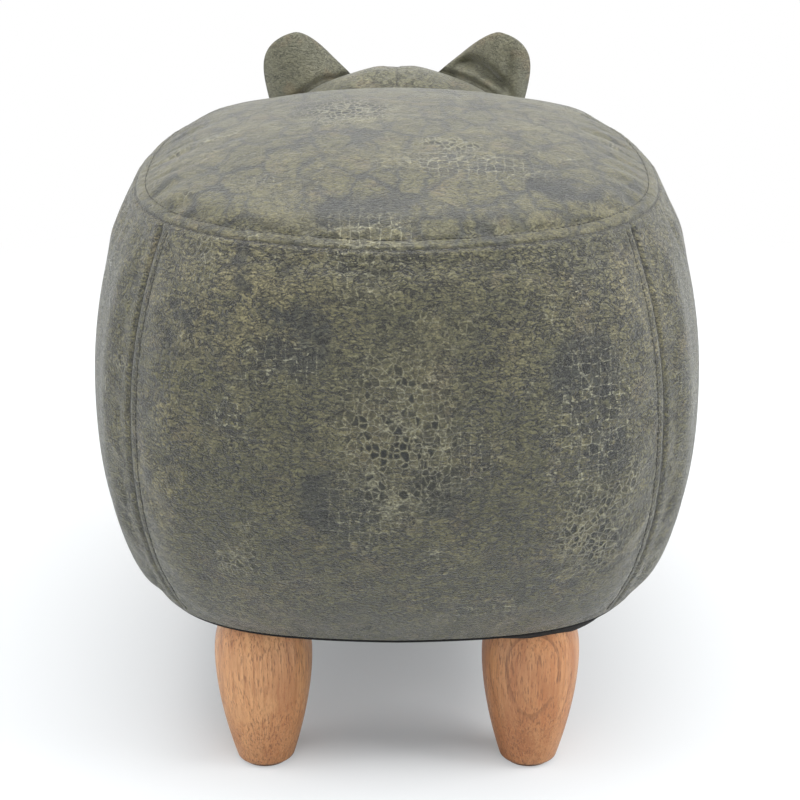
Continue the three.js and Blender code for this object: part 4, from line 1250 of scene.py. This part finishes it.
class HeadForm:
    def __init__(self, sizes, body):
        self.sizes = sizes
        self.body = body
        self.width = body.sizes.width - 2 * sizes.side_inset
        self.neck_y = FRONT_LOW.y + sizes.neck_depth
        self.nose_y = HEAD_LOW.y

    def point(self, along, angle):
        s = self.sizes
        closing = max(along - 0.5, 0) * math.pi
        taper = 2 / s.muzzle_exponent
        open_share = max(math.cos(closing), 0) ** taper
        if along < 0.5:
            place = 2 * along * s.muzzle_start
        else:
            place = mix(s.muzzle_start, 1, math.sin(closing) ** taper)
        upper = math.sin(angle) >= 0
        power = 2 / (s.upper_exponent if upper else s.lower_exponent)
        half = self.width / 2 * value_along(HEAD_WIDTH_SHARES, place)
        rise = s.rise * value_along(HEAD_RISE_SHARES, place)
        drop = s.drop * value_along(JAW_DROP_SHARES, place)
        ridge = s.ridge * (1 - abs(math.cos(angle))) ** s.ridge_exponent if upper else 0
        lift = (rise if upper else drop) * signed_power(math.sin(angle), power) + ridge
        return Vector(
            (
                open_share * half * signed_power(math.cos(angle), power),
                mix(self.neck_y, self.nose_y, place),
                BASE_Z + s.mouth_height + s.mouth_slope * (1 - place) + open_share * lift,
            )
        )

    def normal(self, along, angle):
        inside = clamp(along, 0.004, 0.994)
        return outwards(lambda a, b: self.point(b, a), angle, inside)

    def inside_body(self, point):
        front = self.body.front_y(point.x, point.z)
        return front is not None and point.y > front

    def start(self, angle):
        """How far along the head comes out of the body."""

        def inside(along):
            return self.inside_body(self.point(along, angle))

        high, furthest, step = 0.5, 0.6, 0.05
        if not inside(0.0):
            return 0.0
        while high < furthest and inside(high):
            high += step
        return halve(0.0, high, 24, inside)[1]


def head_form(scene):
    return HeadForm(scene.stool_head, BodyForm(scene.stool_body))


class STOOL_OT_head(bpy.types.Operator):
    """Sew the head's two upper panels and its jaw"""

    bl_idname = "stool.head"
    bl_label = "Head"

    def execute(self, context):
        body = context.scene.stool_body
        form = head_form(context.scene)
        # Each panel runs from one quarter turn to another
        parts = (
            ("head_panel_left", 0, 1, "head_cover_left"),
            ("head_panel_right", 1, 2, "head_cover_right"),
            ("jaw_panel", 2, 4, "jaw_cover"),
        )
        quarter = math.pi / 2
        panels = [
            (self.panel(form, body, name, start * quarter, end * quarter, 7 + number), node)
            for number, (name, start, end, node) in enumerate(parts)
        ]
        upholster(
            panels, SEWN_REACH, SEWN_FADE, HEAD_SWELL, body.cover_thickness, gap=WELD_GAP
        )
        return {"FINISHED"}

    def panel(self, form, body, name, start, end, cut):
        middle = (start + end) / 2
        spread = [mix(start, end, i / 40) for i in range(41)]
        width = run_length([form.point(MEASURED_ALONG, angle) for angle in spread])
        columns = self.even_angles(form, start, end, between_seams(width, HEAD_GRID))
        length = run_length([form.point(i / 60, middle) for i in range(61)])
        shares = [line / length for line in between_seams(length, HEAD_GRID)]
        starts = {angle: form.start(clamp(angle, start, end)) for angle, _ in columns}

        def place(column, share):
            angle, beside = column
            along = mix(starts[angle], 1.0, share)
            point = form.point(along, angle)
            out = form.normal(along, clamp(angle, start + 0.01, end - 0.01))
            near = min(beside, share * length)
            # The seam is shallow on the ridge and fades out at the tip of the muzzle
            at_ridge = 1 - smooth_step(abs(angle - math.pi / 2), 0.2, 0.5)
            at_tip = smooth_step(along, 0.93, 1.0)
            dip = seam_dip(body, beside) * (1 - at_tip) * (1 - 0.75 * at_ridge)
            dip += seam_dip(body, share * length) + start_depth(HEAD_SWELL, near)
            dip -= pucker(point, near, depth=HEAD_PUCKER)
            return point - out * dip

        def edge(column, share):
            return min(column[1], share * length)

        return lay_grid(name, columns, shares, place, edge, cut)

    def even_angles(self, form, start, end, lines):
        """Angles whose points lie at these distances round the head, with each one's distance."""
        steps = [mix(start, end, i / 400) for i in range(401)]
        travelled = [0.0]
        points = [form.point(MEASURED_ALONG, angle) for angle in steps]
        for p, q in zip(points, points[1:]):
            travelled.append(travelled[-1] + (q - p).length)
        full = travelled[-1]
        found = []
        for line in lines:
            goal = line * full / lines[-1]
            number = min(sum(1 for t in travelled[1:-1] if t < goal), 399)
            gap = travelled[number + 1] - travelled[number]
            share = clamp((goal - travelled[number]) / gap)
            angle = mix(steps[number], steps[number + 1], share)
            found.append((angle, min(goal, full - goal)))
        return found


# Legs


class STOOL_OT_legs(bpy.types.Operator):
    """Turn the four legs and put a glide under each"""

    bl_idname = "stool.legs"
    bl_label = "Legs"

    def execute(self, context):
        sizes = context.scene.stool_legs
        finish = context.scene.stool_finish
        leg = spin_profile("leg", self.leg_profile(sizes), 64, 40)
        glide = spin_profile("glide", self.glide_profile(), 48, 40)
        felt = plain_material("glide_felt", finish.felt, fuzz_of_felt, Sheen_Weight=0.2)
        # Place of the pith, how it leans, rings in a metre and where they start, how dark the
        # wood is, and how strong its ring lines are
        grains = {
            "rear_left": ((-0.034, 0.006), 0.0, 215.0, 0.6, 0.28, 0.3),
            "rear_right": ((-0.003, -0.080), 0.03, 150.0, 0.865, 0.56, 0.56),
            "front_left": ((0.010, 0.062), 0.03, 160.0, 0.2, 0.4, 0.5),
            "front_right": ((0.060, -0.010), 0.02, 150.0, 0.7, 0.3, 0.5),
        }
        for number, name in enumerate(LEG_NAMES):
            low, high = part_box(f"leg_{name}")
            axis = (low + high) / 2
            move = Vector((axis.x, axis.y, 0))
            wood = turned_wood(finish, f"leg_wood_{name}", axis, grains[name], 0.3 + number * 1.7)
            turned = copy_to(leg, f"turned_leg_{name}", move)
            settle(dress(turned, wood), "turned_wood", f"leg_{name}")
            disc = copy_to(glide, f"foot_glide_{name}", move)
            settle(dress(disc, felt), "felt", f"glide_{name}")
        for pattern in (leg, glide):
            bpy.data.objects.remove(pattern)
        return {"FINISHED"}

    def radius(self, sizes, height):
        foot, widest = sizes.foot_diameter / 2, sizes.diameter / 2
        if height < sizes.widest_height:
            below = 1 - height / sizes.widest_height
            return mix(widest, foot, below**sizes.lower_exponent)
        above = (height - sizes.widest_height) / (sizes.height - sizes.widest_height)
        return mix(widest, sizes.top_diameter / 2, above**sizes.upper_exponent)

    def leg_profile(self, sizes):
        bolt_hole, bolt_depth = 4.3 * MM, 34.3 * MM
        nail_hole, nail_depth = 1.5 * MM, 13 * MM
        ease, end, spacing = 0.9 * MM, 2.5 * MM, 2.2 * MM
        foot, top = LEG_LOW.z, LEG_LOW.z + sizes.height
        profile = [(0, foot + nail_depth), (nail_hole, foot + nail_depth), (nail_hole, foot)]
        first = self.radius(sizes, 0)
        profile += [(first - ease, foot), (first - ease * 0.3, foot + ease * 0.3)]
        heights = [ease] + spaced(end, sizes.height - end, spacing)
        profile += [(self.radius(sizes, h), foot + h) for h in heights]
        last = self.radius(sizes, sizes.height)
        profile += [(last, top - ease), (last - ease, top)]
        profile += [(bolt_hole, top), (bolt_hole, top - bolt_depth), (0, top - bolt_depth)]
        return profile

    def glide_profile(self):
        radius = (GLIDE_HIGH.x - GLIDE_LOW.x) / 2
        ease, nail = 0.5 * MM, 1.2 * MM
        top = 2 * MM
        return [
            (0, 0),
            (radius - ease, 0),
            (radius - ease * 0.3, ease * 0.3),
            (radius, ease),
            (radius, top - ease),
            (radius - ease, top),
            (nail, top),
            (nail, GLIDE_HIGH.z),
            (0, GLIDE_HIGH.z),
        ]


# Ears, eyes and nostrils. Across runs from -1 to 1, and up from the root at 0 to the tip at 1.


def head_skin(head):
    """A search tree of the outer side of the head's two upper panels."""
    middle_z = BASE_Z + head.sizes.mouth_height + head.sizes.rise / 2

    def is_outer(face):
        return (face.center - Vector((0, face.center.y, middle_z))).dot(face.normal) > 0

    return skin_of([bpy.data.objects[f"head_panel_{side}"] for side in HANDS], is_outer)


class EarForm:
    def __init__(self, head, side):
        self.sizes = sizes = head.sizes
        self.skin = head_skin(head)
        self.hand = HANDS[side]
        self.half = sizes.ear_width / 2
        self.full = sizes.ear_height + sizes.ear_root
        spacing = head.width - 2 * sizes.ear_side_inset
        foot = (self.hand * spacing / 2, head.nose_y + sizes.ear_setback, BASE_Z + sizes.ear_base)
        lean = Matrix.Rotation(self.hand * sizes.ear_lean, 4, "Y")
        turn = Matrix.Rotation(self.hand * sizes.ear_turn, 4, "Z")
        self.place = Matrix.Translation(foot) @ lean @ turn

    def rounded(self, share, squareness):
        """1 along most of an ear, falling to 0 at its rim."""
        return math.sqrt(max(1 - abs(share) ** squareness, 0))

    def half_width(self, across, up):
        """Narrow and straight outside; towards the head it slopes out to a broad foot."""
        if across * self.hand > 0:
            return self.half * self.rounded(up, 7) * (1 - 0.16 * (1 - up))
        slope = self.sizes.ear_flare if self.hand > 0 else self.sizes.ear_flare * 1.2
        return self.half * self.rounded(up, 14) * (0.58 + slope * max(0.9 - up, -0.1))

    def point(self, across, up, depth):
        x = across * self.half_width(across, up)
        cup = self.sizes.ear_cup * (1 - min(abs(x) / self.half, 1) ** 2)
        return self.place @ Vector((x, cup + depth, up * self.full - self.sizes.ear_root))

    def start(self, across):
        """How far up an ear comes out of the head."""

        def inside(up):
            place = self.point(across, up, 0)
            near, normal, _, _ = self.skin.find_nearest(place)
            return (place - near).dot(normal) <= 0

        return halve(0.0, 0.75, 16, inside)[0]

    def plumpness(self, across, up):
        """Half the ear's thickness, rounded off at its rim."""
        padding = self.sizes.ear_foam / 2 * (1 - across**2) * (1 - up**2)
        return (padding + EAR_WALL) * (self.rounded(across, 7) * self.rounded(up, 14))

    def fold(self, across, above):
        """How deep an ear's back is tucked in above its foot. The right ear folds on itself."""
        tuck_depth, tuck_height, tuck_width = 0.0032, 0.0028, 0.0026
        tuck = tuck_depth * hill(above, tuck_height, tuck_width)
        if self.hand > 0:
            return tuck
        fold_height, fold_slope, fold_width = 0.0125, 0.003, 0.0050
        valley = hill(above, fold_height + fold_slope * across, fold_width)
        valley = valley * smooth_step(across, -0.85, -0.2) * smooth_step(across, 0.95, 0.6)
        crease = hill(across, -0.42, 0.14) * smooth_step(above, 0.008, 0.02)
        return tuck + self.sizes.ear_fold * (valley + 0.32 * crease * smooth_step(above, 0.045, 0.025))


class STOOL_OT_ears(bpy.types.Operator):
    """Sew the two padded ears on to the head"""

    bl_idname = "stool.ears"
    bl_label = "Ears"

    def execute(self, context):
        head = head_form(context.scene)
        for number, side in enumerate(HANDS):
            form = EarForm(head, side)
            layers = [
                (self.layer(form, f"ear_{name}_panel_{side}", way, 5 + number), f"ear_{name}_{side}")
                for name, way in (("back", 1), ("front", -1))
            ]
            upholster(layers, SEWN_REACH, NO_FADE, EAR_SWELL, EAR_LEATHER, gap=WELD_GAP)
        return {"FINISHED"}

    def layer(self, form, name, way, cut):
        columns = [-way * place for place in crowded(16)]
        rows = [math.sin(math.pi / 2 * i / 34) for i in range(35)]
        starts = {across: form.start(across) for across in columns}

        def height_at(across, row):
            """How far up the ear a row lies, as a share, and how far above the head."""
            up = mix(starts[across] - 0.02, 1, row)
            return up, (up - starts[across]) * form.full

        def surface(across, row):
            up, height = height_at(across, row)
            puff = form.plumpness(across, up)
            tuck = 1 - 0.75 * hill(height, 0, 0.0035)
            fold = form.fold(across, height) * (1 if way > 0 else 0.9)
            return form.point(across, up, way * puff * tuck - fold)

        def edge(across, row):
            up, height = height_at(across, row)
            rim = (1 - abs(across)) * form.half_width(across, up)
            # The distance grows slowly above the ear's foot, so the leather is painted darker there, a
            # painted shadow where the ear goes into the head; it also holds the foot sewn
            return min(rim, (1 - up) * form.full * 0.8, max(height, 0) * 0.25) + 0.0002

        return lay_grid(name, columns, rows, surface, edge, cut)


class STOOL_OT_face(bpy.types.Operator):
    """Set the eyes and the nostrils on the head"""

    bl_idname = "stool.face"
    bl_label = "Eyes and Nostrils"

    def execute(self, context):
        head = head_form(context.scene)
        sizes = head.sizes
        glossy = plain_material("black_plastic", BLACK_PLASTIC, haze_of_plastic, Coat_Weight=0.6)
        dark = plain_material("nostril_leather", NOSTRIL_LEATHER, grain_of_leather)
        for side, hand in HANDS.items():
            angle = sizes.eye_angle if hand > 0 else math.pi - sizes.eye_angle
            out = head.normal(sizes.eye_place, angle)
            place = head.point(sizes.eye_place, angle) + out * EYE_GAP
            eye = spin_profile(f"eye_button_{side}", self.eye_profile(), 48, 50)
            turn = out.to_track_quat("Z", "Y").to_matrix().to_4x4()
            eye.data.transform(Matrix.Translation(place) @ turn)
            settle(dress(eye, glossy), "black_plastic", f"eye_{side}")
            nostril = self.nostril(sizes, head, side, hand)
            finish_cover(nostril, dark, NOSTRIL_THICKNESS)
            settle(nostril, "nostril_leather", f"nostril_{side}")
        return {"FINISHED"}

    def eye_profile(self):
        radius, height, ease = 9.5 * MM, 7 * MM, 0.6 * MM
        shaft, reach = 2.5 * MM, 13 * MM
        turns = [math.pi / 2 * i / 14 for i in range(15)]
        dome = [(radius * math.cos(t), height * math.sin(t)) for t in turns]
        stem = [(0, -reach), (shaft, -reach), (shaft, 0), (radius - ease, 0)]
        return stem + dome[:-1] + [(0, height)]

    def nostril(self, sizes, head, side, hand):
        angle = sizes.nostril_angle if hand > 0 else math.pi - sizes.nostril_angle
        at, step = sizes.nostril_place, 0.004
        along = head.point(at + step, angle) - head.point(at - step, angle)
        round_head = head.point(at, angle + step) - head.point(at, angle - step)
        per_along, per_angle = along.length / (2 * step), round_head.length / (2 * step)
        half_length, half_width = 8.5 * MM, 12.5 * MM
        lift, padding, dent = 0.35 * MM, 2.3 * MM, 1.9 * MM

        def surface(u, v):
            far = max(abs(u), abs(v), 1e-6)
            length = math.hypot(u, v) or 1e-6
            a, b = u / length * far, v / length * far
            spot = at + b * half_length / per_along
            turn = angle + a * half_width / per_angle
            bulge = padding * math.sqrt(max(1 - far**4, 0)) + lift
            hollow = dent * hill(math.hypot(a * 1.2, b * 1.7), 0, 0.5)
            return head.point(spot, turn) + head.normal(spot, turn) * (bulge - hollow)

        ways = crowded(14)
        return lay_grid(f"nostril_patch_{side}", ways, ways, surface)


# Stitching


def line_on(skin, points, lift):
    """Points set on a skin, a little above it."""
    found = []
    for point in points:
        place, normal, _, _ = skin.find_nearest(point)
        found.append(place + normal * lift)
    return found


def run_along(name, pattern, points, pitch, closed=False):
    """Repeats a small piece along a line of points."""
    path = bpy.data.curves.new("guide", "CURVE")
    path.dimensions = "3D"
    spline = path.splines.new("POLY")
    spline.points.add(len(points) - 1)
    for spot, point in zip(spline.points, points):
        spot.co = (*point, 1)
    spline.use_cyclic_u = closed
    guide = link("guide", path)
    piece = copy_to(pattern, name, Vector((pitch / 2, 0, 0)))
    row = piece.modifiers.new("Row", "ARRAY")
    row.fit_type = "FIT_CURVE"
    row.curve = guide
    row.use_relative_offset = False
    row.use_constant_offset = True
    row.constant_offset_displace = (pitch, 0, 0)
    follow = piece.modifiers.new("Follow", "CURVE")
    follow.object = guide
    follow.deform_axis = "POS_X"
    bpy.context.view_layer.update()
    apply_all(piece)
    bpy.ops.object.shade_smooth()
    bpy.data.objects.remove(guide)
    return piece


class STOOL_OT_stitching(bpy.types.Operator):
    """Sew the topstitching beside the seams"""

    bl_idname = "stool.stitching"
    bl_label = "Stitching"

    def execute(self, context):
        sizes = context.scene.stool_body
        form = BodyForm(sizes)
        finish = context.scene.stool_finish
        thread = plain_material("sewing_thread", finish.thread, twist_of_thread)
        stitch = self.stitch(sizes)
        for name, panel, points, closed in self.lines(form, sizes):
            skin = skin_of([bpy.data.objects[panel]])
            line = line_on(skin, points, 0.05 * MM)
            row = run_along(name, stitch, line, sizes.stitch_pitch, closed)
            settle(dress(row, thread), "leather")
        bpy.data.objects.remove(stitch)
        return {"FINISHED"}

    def stitch(self, sizes):
        """One stitch, with its ends turned down into the leather."""
        stitch = primitive("stitch", "uv_sphere", segments=6, ring_count=5, radius=1)
        length = sizes.stitch_pitch * 0.42
        for point in stitch.data.vertices:
            x = point.co.z * length
            bend = -0.0005 * abs(x / length) ** 3
            point.co = (x, point.co.x * sizes.thread / 2, point.co.y * sizes.thread / 2 + bend)
        edit_all(stitch, (bpy.ops.mesh.normals_make_consistent, {"inside": False}))
        return stitch

    def lines(self, form, sizes):
        inset = sizes.seat_stitch_inset
        loop = [form.seat(p, -1 + i / 24, inset) for p in range(4) for i in range(48)]
        yield "stitches_seat", "seat_panel", loop, True
        for number in (1, 3):
            width = form.panel_width(number)
            across = 1 - 2 * sizes.stitch_inset / width
            for hand, end in (("left", -1), ("right", 1)):
                side = hand if number == 1 else ("right" if hand == "left" else "left")
                points = [form.side(number, end * across, 0.02 + 0.96 * i / 60) for i in range(61)]
                yield f"stitches_{SIDES[number]}_{side}", f"{SIDES[number]}_panel", points, False


# Pads


class STOOL_OT_pads(bpy.types.Operator):
    """Round off the foam pads that lie under the cover"""

    bl_idname = "stool.pads"
    bl_label = "Foam Pads"

    def execute(self, context):
        foam = plain_material("foam", context.scene.stool_finish.foam, cells_of_foam)
        pads = {name: self.pad(name) for name in ("seat_foam", "head_foam", *PAD_NAMES)}
        head = head_form(context.scene)
        for side in HANDS:
            pads[f"ear_foam_{side}"] = self.ear_pad(EarForm(head, side), f"soft_ear_foam_{side}")
        for name, pad in pads.items():
            settle(dress(pad, foam), "foam", name)
        return {"FINISHED"}

    def pad(self, name):
        """The frame's pad with its edges rounded off."""
        pad = copy_to(frame["nodes"][name], f"soft_{name}", Vector((0, 0, 0)))
        weld(pad, JOIN_GAP)
        remesh = pad.modifiers.new("Remesh", "REMESH")
        remesh.mode = "VOXEL"
        remesh.voxel_size = PAD_VOXEL
        shrink = pad.modifiers.new("Shrink", "DISPLACE")
        shrink.strength = -PAD_SHRINK
        shrink.mid_level = 0
        pad.modifiers.new("Relax", "SMOOTH").iterations = 4
        apply_all(pad)
        bpy.ops.object.shade_smooth()
        return pad

    def ear_pad(self, form, name):
        """A thin closed pad that fills an ear inside its two layers."""
        pad = primitive(name, "uv_sphere", segments=40, ring_count=28, radius=1)
        for point in pad.data.vertices:
            x, y, z = point.co
            across = x * 0.93
            start = form.start(across)
            up = mix(start + 0.01, 0.95, (z + 1) / 2)
            above = (up - start) * form.full
            thick = form.plumpness(across, up) * 0.6 * smooth_step(above, 0, 0.006)
            depth = y * thick - form.fold(across, above) * (0.95 - y * 0.05)
            point.co = form.point(across, up, depth)
        bpy.ops.object.shade_smooth()
        return pad


class STOOL_OT_dust_cover(bpy.types.Operator):
    """Stretch the black dust cover under the base"""

    bl_idname = "stool.dust_cover"
    bl_label = "Dust Cover"

    def execute(self, context):
        form = BodyForm(context.scene.stool_body)
        width, length, bow = form.base
        inset = 2 * MM
        size = (width - 2 * inset, length - 2 * inset, bow)
        gap = 0.2 * MM
        thickness = DUST_HIGH.z - DUST_LOW.z - 2 * gap
        # The sheet is let down by up to sag within slack of a point near the rear right corner, held
        # at its rim, so that a dark wedge of its black cloth shows under the body's edge there
        beside, behind = 0.050, 0.020
        loose_corner = Vector((beside - width / 2, BODY_Y + length / 2 - behind, DUST_HIGH.z))
        sag, slack = 0.0085, 0.085

        def surface(u, v):
            panel, across, far = ring_place(u, v)
            edge = form.outline(size, panel, across) - Vector((0, BODY_Y, 0))
            place = Vector((far * edge.x, far * edge.y + BODY_Y, DUST_HIGH.z - gap))
            loose = smooth_step((place - loose_corner).length, slack, 0.0)
            place.z -= sag * loose * smooth_step(1 - far, 0.0, 0.05)
            return place

        ways = crowded(28)
        cloth = lay_grid("under_cover", ways, ways, surface)
        black = plain_material("dust_cloth", BLACK_CLOTH, web_of_cloth)
        finish_cover(cloth, black, thickness, 0)
        settle(cloth, "dust_cloth", "dust_cover")
        self.add_staples(surface, thickness)
        return {"FINISHED"}

    def add_staples(self, surface, thickness):
        """A row of staples that holds the cover's rim."""
        width, wire, pitch, rim = 9 * MM, 0.6 * MM, 36 * MM, 0.965
        staple = primitive("staple", "cube", size=1)
        staple.data.transform(Matrix.Diagonal((width, wire, wire, 1)))
        side = [rim * i / 24 for i in range(-24, 24)]
        loop = [(rim, a) for a in side] + [(-a, rim) for a in side]
        loop += [(-rim, -a) for a in side] + [(a, -rim) for a in side]
        down = Vector((0, 0, thickness + wire * 0.4))
        row = run_along("staples", staple, [surface(u, v) - down for u, v in loop], pitch, True)
        bpy.data.objects.remove(staple)
        zinc = plain_material("zinc_steel", ZINC, marks_of_zinc, Metallic=1.0)
        settle(dress(row, zinc), "steel")


class STOOL_OT_inside(bpy.types.Operator):
    """Give the frame's boards, corner blocks, bolts, nuts and washers inside their materials"""

    bl_idname = "stool.inside"
    bl_label = "Inside"

    def execute(self, context):
        finish = context.scene.stool_finish
        board = plain_material("frame_board", finish.board, plies_of_board)
        zinc = bpy.data.materials["zinc_steel"]
        materials = {
            "corner_block": plain_material("corner_pine", finish.pine, rings_of_pine),
            "board": board,
            "bolt": zinc,
            "nut": zinc,
            "washer": zinc,
        }
        for name, node in frame["nodes"].items():
            for word, material in materials.items():
                if word in name:
                    self.dress_node(node, material)
                    break
        return {"FINISHED"}

    def dress_node(self, node, material):
        for slot in node.material_slots:
            slot.link = "OBJECT"
            slot.material = material


class STOOL_PT_sidebar(bpy.types.Panel):
    """Lists what the footstool is built from"""

    bl_idname = "STOOL_PT_sidebar"
    bl_label = "Footstool"
    bl_space_type = "VIEW_3D"
    bl_region_type = "UI"
    bl_category = "Footstool"

    def draw(self, context):
        column = self.layout.column()
        for step in STEPS:
            column.operator(step.bl_idname)


STEPS = (
    STOOL_OT_stage,
    STOOL_OT_cover,
    STOOL_OT_head,
    STOOL_OT_ears,
    STOOL_OT_face,
    STOOL_OT_stitching,
    STOOL_OT_pads,
    STOOL_OT_legs,
    STOOL_OT_dust_cover,
    STOOL_OT_inside,
)
GROUPS = {
    "stool_body": BodySizes,
    "stool_head": HeadSizes,
    "stool_legs": LegSizes,
    "stool_finish": Finishes,
    "stool_stage": StageSettings,
}


def register():
    for cls in (*GROUPS.values(), *STEPS, STOOL_PT_sidebar):
        bpy.utils.register_class(cls)
    for name, group in GROUPS.items():
        setattr(bpy.types.Scene, name, bpy.props.PointerProperty(type=group))


def unregister():
    for name in GROUPS:
        delattr(bpy.types.Scene, name)
    for cls in (STOOL_PT_sidebar, *reversed(STEPS), *reversed(list(GROUPS.values()))):
        bpy.utils.unregister_class(cls)


def main():
    register()
    for step in STEPS:
        group, name = step.bl_idname.split(".")
        getattr(getattr(bpy.ops, group), name)()


if __name__ == "__main__":
    main()
